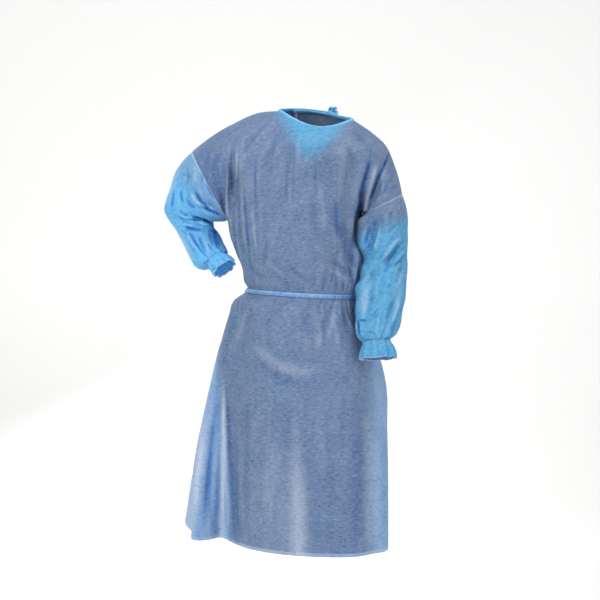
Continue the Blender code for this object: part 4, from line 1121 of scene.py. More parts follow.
def add_cloth(name, cloth, kind, colours, closed_across=False, closed_along=False, flip=False, caps=False):
    """Make a mesh piece of a cloth grid, with its lengths as UV and its colour as an attribute."""
    points = cloth[..., :3]
    rows, columns = points.shape[:2]
    places = grid_faces(rows, columns, closed_across, closed_along)
    if flip:
        places = places[:, ::-1]
    faces = (places[..., 0] % rows) * columns + places[..., 1] % columns
    first = np.arange(columns)
    last = (rows - 1) * columns + first
    ends = ([first, last[::-1]] if flip else [first[::-1], last]) if caps else []
    corners = np.concatenate([faces.ravel(), *ends])
    starts = np.concatenate((np.arange(len(faces)) * 4, len(faces) * 4 + np.arange(len(ends)) * columns))
    mesh = bpy.data.meshes.new(name)
    mesh.vertices.add(rows * columns)
    mesh.vertices.foreach_set("co", (points.reshape(-1, 3) * MM).ravel())
    mesh.loops.add(len(corners))
    mesh.loops.foreach_set("vertex_index", corners.astype(np.int32))
    mesh.polygons.add(len(starts))
    mesh.polygons.foreach_set("loop_start", starts.astype(np.int32))
    mesh.update(calc_edges=True)
    lengths = arc_lengths(points, closed_across)
    if closed_along:
        lengths = np.concatenate((lengths, 2 * lengths[-1:] - lengths[-2:-1]))
    laid = lengths[places[..., 0], places[..., 1]].reshape(-1, 2)
    laid = np.concatenate((laid, np.zeros((len(corners) - len(laid), 2))))
    mesh.uv_layers.new(name="cloth").data.foreach_set("uv", laid.ravel())
    dye = mesh.attributes.new("dye", "FLOAT_COLOR", "POINT")
    dye.data.foreach_set("color", dyed(cloth, colours).ravel())
    return link_piece(name, mesh, materials()[kind])


def thicken(piece, wall):
    """Give a cloth piece its thickness, inward from its outer surface."""
    solid = piece.modifiers.new("cloth", "SOLIDIFY")
    solid.thickness = wall
    solid.offset = -1.0
    solid.use_even_offset = False


def tape_loop(low, high, thick, count):
    """A folded tape's cross-section: a rounded rectangle from low to high, so thick, in so many points."""
    angle = np.linspace(0, 2 * math.pi, count, endpoint=False)
    across, out = (np.sign(wave) * np.abs(wave) ** 0.5 for wave in (np.cos(angle), np.sin(angle)))
    return (high + low) / 2 + (high - low) / 2 * across, thick / 2 * out


def sweep_tape(name, path, wide, out, loop, colour, seed, closed=False, deeper=0.0):
    """A tape: its cross-section carried along a path, a little uneven in width and thickness.

    Its upper edge is painted paler, a painted highlight, and its lower one deeper, painted
    shade, and deeper adds more painted shade along the path.
    """
    across, deep = tape_loop(*loop)
    level = (across - across.mean()) / np.abs(across - across.mean()).max()
    run = run_along(path)[:, None]
    ends = np.sin(math.pi * run / run[-1]) ** TAPE_ENDS if closed else 1.0
    rough = wander(run, across[None], TAPE_CELL, seed) * ends
    across = across[None] * (1 + TAPE_WIDTH_VARIES * rough)
    deep = deep[None] * (1 + TAPE_THICKNESS_VARIES * rough)
    points = path[:, None] + wide[:, None] * across[..., None] + out[:, None] * deep[..., None]
    normals = grid_normals(points, closed=True)
    outward = (normals * (points - points.mean(axis=1, keepdims=True))).sum()
    cloth = as_cloth(points, normals, closed=True)
    # Painted highlight along the tape's upper edge and painted shade along its lower one
    cloth[..., DOUBLED_OR_HIGHLIT] = TAPE_EDGE_HIGHLIGHT * soft_step((level - TAPE_HIGHLIGHT_FROM) / TAPE_SHADE_OVER)
    cloth[..., SHADE_AND_HIGHLIGHT] += deeper + TAPE_EDGE_SHADE * soft_step((-level - TAPE_SHADE_FROM) / TAPE_SHADE_OVER)
    return add_cloth(name, cloth, "tape", tape_colours(colour), closed_across=True,
                     closed_along=closed, flip=outward < 0, caps=not closed)


def add_stitches(name, paths, length, pitch, radius):
    """Stitches of sewing thread along paths of points and normals, as one piece.

    Each stitch is a thin six-sided bar that dips at both ends.
    """
    angles = (np.arange(6) * math.pi / 3)[:, None]
    corners = []
    for points, normals in paths:
        run = run_along(points)
        at = np.arange(pitch / 2, run[-1] - length, pitch)[:, None] + STITCH_SHARES * length
        place, up = (
            np.stack([np.interp(at, run, line[:, axis]) for axis in range(3)], axis=-1)
            for line in (points, normals))
        up = unit(up)
        beside = unit(np.cross(place[:, -1:] - place[:, :1], up))
        place = place + up * (STITCH_DIP * radius)[:, None]
        ring = beside[:, :, None] * np.cos(angles) + up[:, :, None] * np.sin(angles)
        corners.append((place[:, :, None] + ring * (STITCH_FAT * radius)[:, None, None]).reshape(-1, 3))
    corners = np.concatenate(corners)
    places = grid_faces(4, 6, True, False)
    bar = places[..., 0] * 6 + places[..., 1] % 6
    faces = (bar[None] + np.arange(0, len(corners), 24)[:, None, None]).reshape(-1, 4)
    mesh = bpy.data.meshes.new(name)
    mesh.from_pydata((corners * MM).tolist(), [], faces.tolist())
    return link_piece(name, mesh, materials()["thread"])


def sleeve_frame(rings, first=None):
    """Middles and half-width vectors of a sleeve's table of rings, read at even steps of its length."""
    rings = np.array(rings, float)
    outer = np.stack((rings[:, 0], rings[:, 4], rings[:, 1]), axis=1)
    inner = np.stack((rings[:, 2], rings[:, 4], rings[:, 3]), axis=1)
    half = rings[:, 5:6]
    if first is not None:
        outer = np.concatenate((first[0][None], outer))
        inner = np.concatenate((first[1][None], inner))
        half = np.concatenate(([[first[2]]], half))
    return (outer + inner) / 2, (outer - inner) / 2, half


def tube(middles, reach, half, rows, around, end_line, on_armhole=True):
    """Rings round a bent centre line.

    A ring is its middle plus reach times a cosine less a depth vector times a sine. The
    depth vector lies along Y where the ring meets an armhole, leans towards standing
    across the centre line further down, and stands across end_line at the wrist. The
    first rings have the armhole's slight point.
    """
    knots = run_along(middles)
    knots /= knots[-1]
    shares = np.linspace(0, 1, rows + 1)
    read = through(knots, np.concatenate((middles, reach, half), axis=1), shares)
    middle, arm, deep = read[:, :3], read[:, 3:6], read[:, 6:]
    depth, end_depth = (
        unit(np.cross(line, arm)) for line in (unit(np.gradient(middle, axis=0)), end_line))
    depth *= np.sign(depth[:, 1:2])
    end_depth *= np.sign(end_depth[:, 1:2])
    closing = np.ones((rows + 1, 1))
    wave = np.repeat(np.cos(around)[None], rows + 1, axis=0)
    if on_armhole:
        step = shares[:, None] * SLEEVE_STEPS
        pointed = 2 * armhole_climb(np.abs(around / math.pi - 1)) - 1
        wave += (pointed - wave) * (1 - soft_step(step / ARMHOLE_RINGS))
        turned = DEPTH_LEAN * soft_step(step / LEAN_RINGS)
        depth = unit(np.array((0.0, 1.0, 0.0)) * (1 - turned) + depth * turned)
        closing = soft_step((step - SLEEVE_STEPS + WRIST_RINGS) / (WRIST_RINGS - 1))
    depth = unit(depth * (1 - closing) + end_depth * closing)
    swing = np.sin(around)[None, :, None]
    return middle[:, None] + arm[:, None] * wave[..., None] - (depth * deep)[:, None] * swing


def bend_push(bends, shares, around, length, girth):
    """How far the sleeve's broad creases stand out: each is a bell across its line, faded at both ends."""
    total = np.zeros((len(shares), len(around)))
    for bend in bends:
        heading = math.radians(bend.heading)
        down = (shares - bend.along)[:, None] * length
        turned = (around - math.radians(bend.around) + math.pi) % (2 * math.pi) - math.pi
        beside = turned[None, :] * girth[:, None]
        run = down * math.cos(heading) + beside * math.sin(heading)
        off = -down * math.sin(heading) + beside * math.cos(heading)
        total += bend.out * np.exp(-((run / bend.reach) ** 4)) * np.exp(-((off / bend.width) ** 2))
    return total


def cuff_line(rings):
    """Direction in which a cuff leaves its wrist."""
    middles = sleeve_frame(rings)[0]
    return unit(middles[-1] - middles[0])


def pleat_wave(around, count, seed):
    """Uneven pleats round a ring: a cosine whose phase and height wander."""
    slow = np.sin(3 * around + seed) + 0.7 * np.sin(5 * around + 2.3 * seed)
    return np.cos(count * around + 0.9 * slow) * (0.75 + 0.25 * np.sin(4 * around + 1.7 * seed))


def sleeve_surface(side, strength):
    """A sleeve's outer surface and normals: the tube, its bends, crisp creases and the wrist's gathers."""
    front = body_surface(-1, strength)
    column = 0 if side.mirror < 0 else -1
    first = (front[-1, column], front[len(level_heights()) - 1, column], side.armhole)
    middles, reach, half = sleeve_frame(side.rings, first)
    front_half = np.linspace(0, math.pi, RISES + 1)
    around = np.concatenate((front_half, 2 * math.pi - front_half[-2:0:-1]))
    points = tube(middles, reach, half, SLEEVE_ROWS, around, cuff_line(side.cuff))
    shares = np.linspace(0, 1, SLEEVE_ROWS + 1)
    length = np.linalg.norm(np.diff(middles, axis=0), axis=1).sum()
    girth = np.linalg.norm(points[:, 0] - points[:, RISES], axis=1) / 2
    push = bend_push(side.bends, shares, around, length, girth)
    push *= faded(shares, CREASE_START, CREASE_END)[:, None]
    billow = bend_push(side.billows, shares, around, length, girth)
    push += billow * soft_step(shares / BILLOW_START)[:, None]
    points = points + grid_normals(points, closed=True) * side.mirror * push[..., None]
    normals = grid_normals(points, closed=True) * side.mirror
    front = soft_step((FACING_FROM - normals[..., 1]) / FACING_OVER)
    back = soft_step((FACING_FROM + normals[..., 1]) / FACING_OVER)
    fine = crease_push(front_view(points), side.creases + scattered(side.buckles)) * front
    fine += crease_push(points[..., (0, 2)], SLEEVE_BACK_CREASES + scattered(SLEEVE_BACK_BUCKLES)) * back
    u, v = points[..., 0] + 2 * points[..., 1], points[..., 2]
    fine = uneven(fine, u, v, SLEEVE_WANDER, side.seed)
    fine *= strength * faded(shares, FINE_START, FINE_END)[:, None]
    points = points + normals * fine[..., None]
    radial = unit(points - points.mean(axis=1, keepdims=True))
    for reach_back, count, out, shift in WRIST_GATHERS:
        gathered = soft_step((shares - 1 + reach_back) / reach_back)[:, None]
        pleats = out * gathered * pleat_wave(around, count, side.seed + shift)
        points = points + radial * pleats[..., None]
    return points, grid_normals(points, closed=True) * side.mirror


def cuff_surface(side):
    """A cuff's outer surface and normals: a short flared tube, tightly gathered at the wrist.

    Its frill waves more towards its end.
    """
    middles, reach, half = sleeve_frame(side.cuff)
    around = np.linspace(0, 2 * math.pi, CUFF_POINTS, endpoint=False)
    line = cuff_line(side.cuff)
    points = tube(middles, reach, half, CUFF_ROWS, around, line, on_armhole=False)
    shares = np.linspace(0, 1, CUFF_ROWS + 1)[:, None]
    wide = CUFF_WAVE_OUT * (1 - CUFF_WAVE_GROWTH * (1 - shares))
    push = wide * np.cos(CUFF_WAVES * around + CUFF_WAVE_START)
    push = push + CUFF_GATHER * (1 - shares) ** 2 * pleat_wave(around, CUFF_GATHERS, side.cuff_seed + 1)
    push += CUFF_FRILL * shares * pleat_wave(around, CUFF_PLEATS, side.cuff_seed)
    push -= CUFF_GROOVE * np.exp(-((shares - CUFF_GROOVE_AT) / CUFF_GROOVE_WIDTH) ** 2)
    wavy = CUFF_EDGE * shares * pleat_wave(around, CUFF_EDGE_WAVES, side.cuff_seed + 2)
    points = points + line * wavy[..., None]
    radial = unit(points - points.mean(axis=1, keepdims=True))
    points = points + radial * push[..., None]
    return points, grid_normals(points, closed=True) * side.mirror


def neck_path(strength):
    """The neck's edge from end to end, with the directions across it and out of it."""
    front, back, tucked = panel_grids(strength)
    pieces = (
        (back, np.arange(OVER_COLUMN, NECK_LEFT_COLUMN, -1)),
        (front, np.arange(NECK_LEFT_COLUMN, NECK_RIGHT_COLUMN + 1)),
        (tucked, np.arange(NECK_RIGHT_COLUMN - 1, UNDER_COLUMN - 1, -1)),
    )
    edge = np.concatenate([cloth[-1, columns, :3] for cloth, columns in pieces])
    out = np.concatenate([cloth[-2, columns, 3:6] for cloth, columns in pieces])
    tangent = unit(np.gradient(edge, axis=0))
    rise = unit(np.cross(out, tangent))
    rise *= np.sign(((edge.mean(axis=0) - edge) * rise).sum(axis=1))[:, None]
    rise = unit(rise + np.array((0.0, 0.0, BINDING_LEAN)))
    out = unit(np.cross(tangent, rise))
    out *= np.sign((out * (edge - edge.mean(axis=0))).sum(axis=1))[:, None]
    return edge - out * BINDING_SET_IN, rise, out


def panel_grids(strength):
    """The front, the whole back, and the back moved in where the left panel lies over it."""
    grids = []
    for side in (-1, 1):
        points = body_surface(side, strength)
        view = flat_view(side, points)
        creases, _, bands = BODY_LINES[side]
        # Painted shade and painted highlight along the drawn creases and in the shading bands
        lines = painted_crease_shade(view, creases, BODY_SHADE_DEPTH) - crease_push(view, bands)
        grids.append(as_cloth(points, -side * grid_normals(points), *nearness(points), drawn=lines))
    front, back = grids
    amount = UNDERLAP_INSET * soft_step((OVER_EDGE + TUCK - ACROSS) / TUCK)
    tucked = back.copy()
    tucked[..., :3] -= back[..., 3:6] * amount[None, :, None]
    return front, back, tucked


def mark_doubled(cloth, columns=(), rows=()):
    """Say where seams and hems double the cloth: near the named edge columns and rows."""
    for column in columns:
        cloth[:, column, DOUBLED_OR_HIGHLIT] = 1.0
    for row in rows:
        cloth[row, :, DOUBLED_OR_HIGHLIT] = DOUBLED_HEM


def belt_path():
    """Middle of the belt all round the waist, the direction across it and the one out of it."""
    heights = level_rows((BELT_HEIGHT - BELT_WIDTH / 2, BELT_HEIGHT + BELT_WIDTH / 2), ACROSS)
    front, front_out = lower_rows(-1, ACROSS, heights)
    back, back_out = lower_rows(1, ACROSS[::-1], heights)
    points = np.concatenate((front, back[:, 1:-1]), axis=1)
    out = unit(np.concatenate((front_out, back_out[:, 1:-1]), axis=1).mean(axis=0))
    middle = points.mean(axis=0)
    return middle, unit(points[1] - points[0]), out


def surface_behind(grid):
    """A function that gives how far back the back reaches at x and z, found with a ray."""
    rows, columns = grid.shape[:2]
    places = grid_faces(rows, columns, False, False)
    faces = places[..., 0] * columns + places[..., 1]
    tree = BVHTree.FromPolygons(grid.reshape(-1, 3).tolist(), faces.tolist())

    def reach(x, z):
        """The furthest back that the surface lies at x and z."""
        place = tree.ray_cast((x, FAR_BEHIND, z), (0.0, -1.0, 0.0))[0]
        return place.y if place else -FAR_BEHIND

    return reach


def hang_tie(start, side, length, reach):
    """Path of a tie's free end, which hangs from start and rests on the back, splayed to one side."""
    rows = []
    depth = start[1]
    for drop in np.linspace(0, length, TIE_STEPS + 1):
        x = start[0] + side * TIE_SPLAY * drop
        z = start[2] - drop
        beside = [reach(x + dx, z + dz) for dx in TIE_PROBES for dz in TIE_PROBES]
        depth = max(max(beside) + TIE_CLEAR, depth)
        rows.append((x, depth, z))
        depth -= TIE_FALL * length / TIE_STEPS
    return np.array(rows)


def add_tie(name, path, colour, seed):
    """A tie's free end: the folded tape hung on its path, slightly turned this way and that."""
    tangent = unit(np.gradient(path, axis=0))
    run = np.linspace(0, 1, len(path))
    turned = TIE_TURN * np.sin(TIE_TURNS * run + seed) * run
    wide = unit(np.cross(tangent, (0.0, 1.0, 0.0)))
    wide = unit(wide + np.array((0.0, 1.0, 0.0)) * np.abs(turned)[:, None])
    out = unit(np.cross(wide, tangent))
    return sweep_tape(name, path, wide, out, TIE_LOOP, colour, seed)


def add_knot(name, centre, colour, seed):
    """A tie's knot: the tape carried round a trefoil, pulled tight.

    x = sin t + 1.3 sin 2t, z = cos t - 1.3 cos 2t, y = -sin 3t, each scaled to the knot's size.
    """
    t = np.linspace(0, 2 * math.pi, KNOT_STEPS, endpoint=False)
    x = (np.sin(t) + KNOT_TWIST * np.sin(2 * t)) / (1 + KNOT_TWIST)
    z = (np.cos(t) - KNOT_TWIST * np.cos(2 * t)) / (1 + KNOT_TWIST)
    y = -np.sin(3 * t)
    path = np.stack((x, y, z), axis=1) * (np.array(KNOT_SIZE) / 2 - KNOT_TAPE)
    tangent = unit(np.roll(path, -1, axis=0) - np.roll(path, 1, axis=0))
    out = unit(path * KNOT_FACE + KNOT_BACK)
    wide = unit(np.cross(tangent, out))
    out = unit(np.cross(wide, tangent))
    return sweep_tape(name, path + centre, wide, out, KNOT_LOOP, colour, seed, closed=True)


def stand_for(piece, node, slot, **cut):
    """Hide the solid that a piece stands for; the piece, its material slot and, for cloth, its cut and how it
    lies are not used.
    """
    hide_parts(node)


def add_knot_and_ties(word, node, centre, at, length, flat, colour, seed, back):
    """A knot and its two free ends, which hang on the back's surface."""
    knot = add_knot(f"gown_{word}_knot", centre, colour, seed)
    stand_for(knot, f"{node}_knot", "trim")
    reach = surface_behind(back[..., :3])
    for number, (name, side) in enumerate((("left", -1), ("right", 1)), 1):
        start = centre + np.array((side * at.x, at.y, at.z))
        path = hang_tie(start, side, length, reach)
        tie = add_tie(f"gown_{word}_tie_{name}", path, colour, seed + number)
        stand_for(tie, f"{node}_tie_{name}", "trim", flat=flat, held="hung", rests_on=(f"{node}_knot",))


def add_sleeve_cloth(name, node, cloth, side, sizes, **cut):
    """A sleeve or a cuff as a piece of cloth with its thickness."""
    # Painted light: the left sleeve's and cuff's colours are painted brighter
    piece = add_cloth(
        name, cloth, "sleeve", cloth_colours(side.bright), closed_across=True, flip=side.mirror < 0)
    thicken(piece, sizes.cloth)
    stand_for(piece, node, "sleeve", **cut)


def linear(code):
    """A colour from its sRGB hex code, as linear values."""
    values = np.array([int(code[i:i + 2], 16) for i in (1, 3, 5)]) / 255
    curve = np.where(values <= 0.04045, values / 12.92, ((values + 0.055) / 1.055) ** 2.4)
    return (*(float(value) for value in curve), 1.0)


def shade(colour, factor):
    """A colour made deeper or paler by a factor."""
    return (*(min(BRIGHTEST, value * factor) for value in tuple(colour)[:3]), 1.0)


def cloth_colours(bright=1.0):
    """The gown's cloth: close-lying, standing away, in the sleeves and doubled, painted so much brighter as
    painted light.
    """
    colours = bpy.context.scene.gown_colours
    return [shade(colour, bright) for colour in (colours.body, colours.edges, colours.sleeve, colours.seam)]


def tape_colours(colour):
    """A folded tape's one colour, and the paler one of the painted highlight on its edge."""
    return colour, colour, colour, shade(colour, TAPE_HIGHLIGHT_BRIGHTER)


def add_node(tree, kind, settings=None, values=None, links=None):
    """Add a node: its settings, the values of its sockets and what feeds them."""
    node = tree.nodes.new(kind)
    for name, value in (settings or {}).items():
        setattr(node, name, value)
    for name, value in (values or {}).items():
        node.inputs[name].default_value = value
    for name, output in (links or {}).items():
        tree.links.new(output, node.inputs[name])
    return node


def set_ramp(node, stops):
    """Give a ramp its positions and colours."""
    elements = node.color_ramp.elements
    for element, (position, colour) in zip((elements[0], elements[1]), (stops[0], stops[-1])):
        element.position = position
        element.color = colour
    for position, colour in stops[1:-1]:
        elements.new(position).color = colour
    return node.outputs["Color"]


def new_material(name):
    """An empty node material."""
    material = bpy.data.materials.new(name)
    material.use_nodes = True
    material.node_tree.nodes.clear()
    return material


def spun_cloth(name, see_through):
    """Spun-bonded polypropylene, rolled and heat bonded: matt, clouded and softly streaked.

    The mesh holds its colour. Fine fibres laid mostly across the cloth show as short
    streaks, their uneven spread as soft clouds, and the bonded points as a regular grid
    of dents. It is thin, so some light passes it.
    """
    material = new_material(name)
    tree = material.node_tree
    uv = add_node(tree, "ShaderNodeUVMap", {"uv_map": "cloth"}).outputs["UV"]

    def laid_out(angle, wide, high):
        """The cloth's own lengths, turned and scaled to a cell of so many millimetres."""
        return add_node(
            tree, "ShaderNodeMapping", {"vector_type": "TEXTURE"},
            {"Rotation": (0, 0, math.radians(angle)), "Scale": (wide * MM, high * MM, 1)},
            {"Vector": uv}).outputs["Vector"]

    def streaks(angle, wide, high, detail):
        """Noise drawn out along an angle, so many millimetres long and short."""
        noise = {"Scale": 1.0, "Detail": detail, "Roughness": 0.6}
        at = laid_out(angle, wide, high)
        return add_node(tree, "ShaderNodeTexNoise", None, noise, {"Vector": at}).outputs["Fac"]

    def blend(first, second, share):
        """Two values mixed."""
        return add_node(
            tree, "ShaderNodeMix", None, {"Factor": share}, {"A": first, "B": second}).outputs["Result"]

    def soft_range(value, none_at, full_at, most):
        """A soft step: nothing at one value, and most at the other."""
        return add_node(
            tree, "ShaderNodeMapRange", {"interpolation_type": "SMOOTHSTEP"},
            {"From Min": none_at, "From Max": full_at, "To Max": most}, {"Value": value}).outputs["Result"]

    def tinted(colour, mode, other, none_at, full_at, most):
        """A colour mixed with a fixed one, as far as the fibres' soft step says."""
        node = add_node(
            tree, "ShaderNodeMix", {"data_type": "RGBA", "blend_type": mode}, {7: other},
            {0: soft_range(fibres, none_at, full_at, most), 6: colour})
        return node.outputs[2]

    def bumped(height, strength, deep, **normal):
        """The normal bent by a height of so many millimetres."""
        return add_node(
            tree, "ShaderNodeBump", None, {"Strength": strength, "Distance": deep * MM},
            {"Height": height, **normal}).outputs["Normal"]

    # Real fibres are 0.02 mm wide; they are drawn as bundles coarse enough to show.
    crossed = blend(streaks(36, 8, 2.0, 2), streaks(-42, 8, 2.0, 2), 0.5)
    laid = blend(streaks(2, 10, 2.4, 2), crossed, 0.30)
    clouded = blend(laid, streaks(0, 15, 8, 3), 0.26)
    fibres = blend(clouded, streaks(20, 60, 44, 3), 0.18)
    dye = add_node(tree, "ShaderNodeAttribute", {"attribute_name": "dye"}).outputs["Color"]
    tint = tinted(dye, "MULTIPLY", (0.40, 0.56, 0.74, 1.0), 0.51, 0.365, 0.92)
    tint = tinted(tint, "MIX", linear("#C3CCE2"), 0.50, 0.66, 0.42)
    # Bonded points stand about 1 mm apart; they are drawn at 2.6 mm.
    bonds = add_node(
        tree, "ShaderNodeTexVoronoi", {"voronoi_dimensions": "2D"},
        {"Scale": 1.0, "Randomness": 0.0}, {"Vector": laid_out(45, 2.6, 2.6)}).outputs["Distance"]
    dented = bumped(soft_range(bonds, 0.12, 0.34, 1.0), 0.5, 0.25)
    rough = bumped(clouded, 0.8, 0.8, Normal=dented)
    matt = add_node(
        tree, "ShaderNodeBsdfPrincipled", None,
        {"Roughness": 0.78, "Specular IOR Level": 0.35, "Sheen Weight": 0.05, "Sheen Roughness": 0.5},
        {"Base Color": tint, "Normal": rough})
    glow = add_node(tree, "ShaderNodeBsdfTranslucent", None, None, {"Color": tint, "Normal": rough})
    whole = add_node(
        tree, "ShaderNodeMixShader", None, {"Fac": see_through},
        {1: matt.outputs["BSDF"], 2: glow.outputs["BSDF"]})
    add_node(tree, "ShaderNodeOutputMaterial", None, None, {"Surface": whole.outputs["Shader"]})
    return material


def plain_material(name, scale, detail, stops, roughness, sheen):
    """A plain finish: one noise that mixes close colours, on a matt surface."""
    material = new_material(name)
    tree = material.node_tree
    at = add_node(tree, "ShaderNodeTexCoord").outputs["Object"]
    noise = add_node(
        tree, "ShaderNodeTexNoise", None, {"Scale": scale, "Detail": detail}, {"Vector": at}).outputs["Fac"]
    ramp = set_ramp(add_node(tree, "ShaderNodeValToRGB", links={"Fac": noise}), stops)
    matt = add_node(
        tree, "ShaderNodeBsdfPrincipled", None, {"Roughness": roughness, "Sheen Weight": sheen},
        {"Base Color": ramp}).outputs["BSDF"]
    add_node(tree, "ShaderNodeOutputMaterial", None, None, {"Surface": matt})
    return material


@lru_cache(maxsize=None)
def materials():
    """The gown's cloths and its thread, made once."""
    thread = tuple(bpy.context.scene.gown_colours.thread)
    return {
        "panel": spun_cloth("spun nonwoven, body", 0.26),
        "sleeve": spun_cloth("spun nonwoven, sleeves", 0.26),
        "tape": spun_cloth("folded nonwoven tape", 0.10),
        # Twisted polyester sewing thread: matt, and a little paler than the cloth.
        "thread": plain_material(
            "polyester thread, twisted", 900.0, 1.0, ((0.35, shade(thread, 0.8)), (0.65, thread)), 0.7, 0.2),
    }


def length_setting(name, about, default, least, most):
    """A length that the panel can change, given in millimetres."""
    return FloatProperty(
        name=name, description=about, default=default * MM, min=least * MM, max=most * MM, precision=4,
        unit="LENGTH")


def share_setting(name, about, default, **limits):
    """A factor that the panel can change."""
    return FloatProperty(name=name, description=about, default=default, min=0.0, subtype="FACTOR", **limits)


def colour_setting(name, about, code):
    """A colour that the panel can change, given as an sRGB hex code."""
    return FloatVectorProperty(
        name=name, description=about, size=4, subtype="COLOR", default=linear(code))


class GownSizes(bpy.types.PropertyGroup):
    """Sizes of the gown's cloth and sewing."""

    creases: share_setting("Creases", "Depth of the creases, as a share of the worn gown's", 1.0, max=1.5)
    cloth: length_setting("Cloth thickness", "Thickness of one layer of the cloth", 0.6, 0.2, 1.5)
    hem: length_setting("Hem depth", "How far the hem is turned up inside", HEM_WIDTH, 4, 25)
    stitch: length_setting("Stitch length", "Length of one stitch", 2.6, 1.5, 5)


class GownColours(bpy.types.PropertyGroup):
    """Colours of the gown's cloth and sewing."""

    body: colour_setting("Body", "Cloth of the front and back", "#6F87AA")
    edges: colour_setting("Edges", "Cloth of the front and back where it stands away", "#8FB1D6")
    sleeve: colour_setting("Sleeves", "Cloth of the sleeves and cuffs", "#5CABD6")
    seam: colour_setting("Seams", "Doubled cloth of seams and hems", "#B4C8E6")
    tape: colour_setting("Tape", "Folded tape of the belt and its ties", "#6F97C2")
    binding: colour_setting("Binding", "Folded tape of the neck and its ties", "#66B0DE")
    thread: colour_setting("Thread", "Sewing thread", "#B4D4F2")


class GownStage(bpy.types.PropertyGroup):
    """The floor, light and camera round the gown."""

    floor: FloatProperty(
        name="Floor", description="Height of the floor below the neck", default=FLOOR_HEIGHT * MM,
        unit="LENGTH")
    paper: colour_setting("Floor colour", "Colour of the floor and the sheet behind", "#F8F8F7")
    light: share_setting("Light", "Strength of the studio lights", 1.0)
    world: share_setting("Surroundings", "Strength of the pale light from all round", 0.55)
    view: FloatProperty(
        name="View angle", description="Angle of the camera's view", unit="ROTATION",
        default=2 * math.atan(PICTURE_SIZE / 2 / PICTURE_FOCUS))


class MakePanels(bpy.types.Operator):
    """Make the front panel and the two back panels"""

    bl_idname = "gown.make_panels"
    bl_label = "Panels"

    def execute(self, context):
        sizes = context.scene.gown_sizes
        hem = tuple((deep, over * sizes.hem / MM) for deep, over in HEM_TURN)
        front, back, tucked = panel_grids(sizes.creases)
        over = back[:, :OVER_COLUMN + 1].copy()
        under = tucked[:, UNDER_COLUMN:].copy()
        neck = soft_step((ACROSS - LEFT_SHOULDER_SHARE) / NECK_TURN_SOFT)
        neck *= soft_step((1 - RIGHT_SHOULDER_SHARE - ACROSS) / NECK_TURN_SOFT)
        neck = (1 - NECK_TURN_LESS * neck)[:, None]
        shapes = (
            ("gown_front", "front_panel", front, neck, (0, -1), SEAM_TURN, SEAM_TURN,
             False, (0.66, 1.12), 0.60),
            ("gown_back_left", "back_panel_left", over, neck[:over.shape[1]], (0, -1, -2, -3), SEAM_TURN, hem,
             True, (0.47, 1.12), 0.42),
            ("gown_back_right", "back_panel_right", under, neck[-under.shape[1]:], (0, 1, 2, -1), hem,
             SEAM_TURN, True, (0.42, 1.12), 0.34),
        )
        for name, node, cloth, share, doubled, left, right, flip, flat, area in shapes:
            mark_doubled(cloth, doubled, (0, 1, 2, -1))
            cloth = turn_edge(turn_edge(cloth, "left", left), "right", right)
            share = np.pad(share, ((len(left), len(right)), (0, 0)), "edge")
            cloth = turn_edge(turn_edge(cloth, "high", SEAM_TURN, share), "low", hem)
            piece = add_cloth(name, cloth, "panel", cloth_colours(), flip=flip)
            thicken(piece, sizes.cloth)
            stand_for(
                piece, node, "panel", flat=flat, held="draped", rests_on=("neck_binding",), area=area)
        return {"FINISHED"}


class MakeSleeves(bpy.types.Operator):
    """Make the two sleeves"""

    bl_idname = "gown.make_sleeves"
    bl_label = "Sleeves"

    def execute(self, context):
        sizes = context.scene.gown_sizes
        for side in SIDES:
            points, normals = sleeve_surface(side, sizes.creases)
            shares = np.linspace(0, 1, len(points))[:, None]
            away = soft_step((shares - SLEEVE_NEAR_FROM) / SLEEVE_NEAR_OVER)
            view = front_view(points)
            # Painted shade and painted highlight along the creases and, on the front, in the shading bands
            lines = np.where(
                normals[..., 1] < 0,
                painted_crease_shade(view, side.creases, side.drawn) - crease_push(view, side.bands),
                painted_crease_shade(points[..., (0, 2)], SLEEVE_BACK_CREASES, side.drawn))
            free = side.free + (1 - side.free) * away
            cloth = as_cloth(points, normals, SLEEVE_NEAR, free, closed=True, drawn=lines)
            mark_doubled(cloth, (RISES,), (0, 1))
            cloth = turn_edge(turn_edge(cloth, "low", SEAM_TURN), "high", SEAM_TURN)
            add_sleeve_cloth(
                f"gown_sleeve_{side.name}", f"sleeve_{side.name}", cloth, side, sizes, flat=side.flat,
                held="draped", rests_on=("front_panel", f"back_panel_{side.name}"), area=side.area)
        return {"FINISHED"}


class MakeCuffs(bpy.types.Operator):
    """Make the two gathered and frilled cuffs"""

    bl_idname = "gown.make_cuffs"
    bl_label = "Cuffs"

    def execute(self, context):
        for side in SIDES:
            cloth = as_cloth(*cuff_surface(side), free=1.0, closed=True)
            mark_doubled(cloth, rows=(-1, -2))
            add_sleeve_cloth(
                f"gown_cuff_{side.name}", f"cuff_{side.name}", turn_edge(cloth, "high", CUFF_TURN), side,
                context.scene.gown_sizes, flat=side.cuff_flat, held="gathered",
                rests_on=(f"sleeve_{side.name}",))
        return {"FINISHED"}


class MakeNeck(bpy.types.Operator):
    """Make the neck's binding with its knot and two free ends"""

    bl_idname = "gown.make_neck"
    bl_label = "Neck binding"

    def execute(self, context):
        sizes = context.scene.gown_sizes
        tape = context.scene.gown_colours.binding
        edge, rise, out = neck_path(sizes.creases)
        binding = sweep_tape("gown_neck_binding", edge, rise, out, BINDING_LOOP, tape, BINDING_SEED)
        stand_for(
            binding, "neck_binding", "trim", flat=BINDING_FLAT, held="folded",
            rests_on=("front_panel", "back_panel_left"))
        back = panel_grids(sizes.creases)[1]
        at = back[-1, OVER_COLUMN - KNOT_COLUMNS]
        centre = at[:3] + at[3:6] * NECK_KNOT_OUT
        add_knot_and_ties(
            "neck", "neck", centre, NECK_TIE_AT, NECK_TIE_LENGTH, NECK_TIE_FLAT, tape, NECK_TIE_SEED, back)
        return {"FINISHED"}


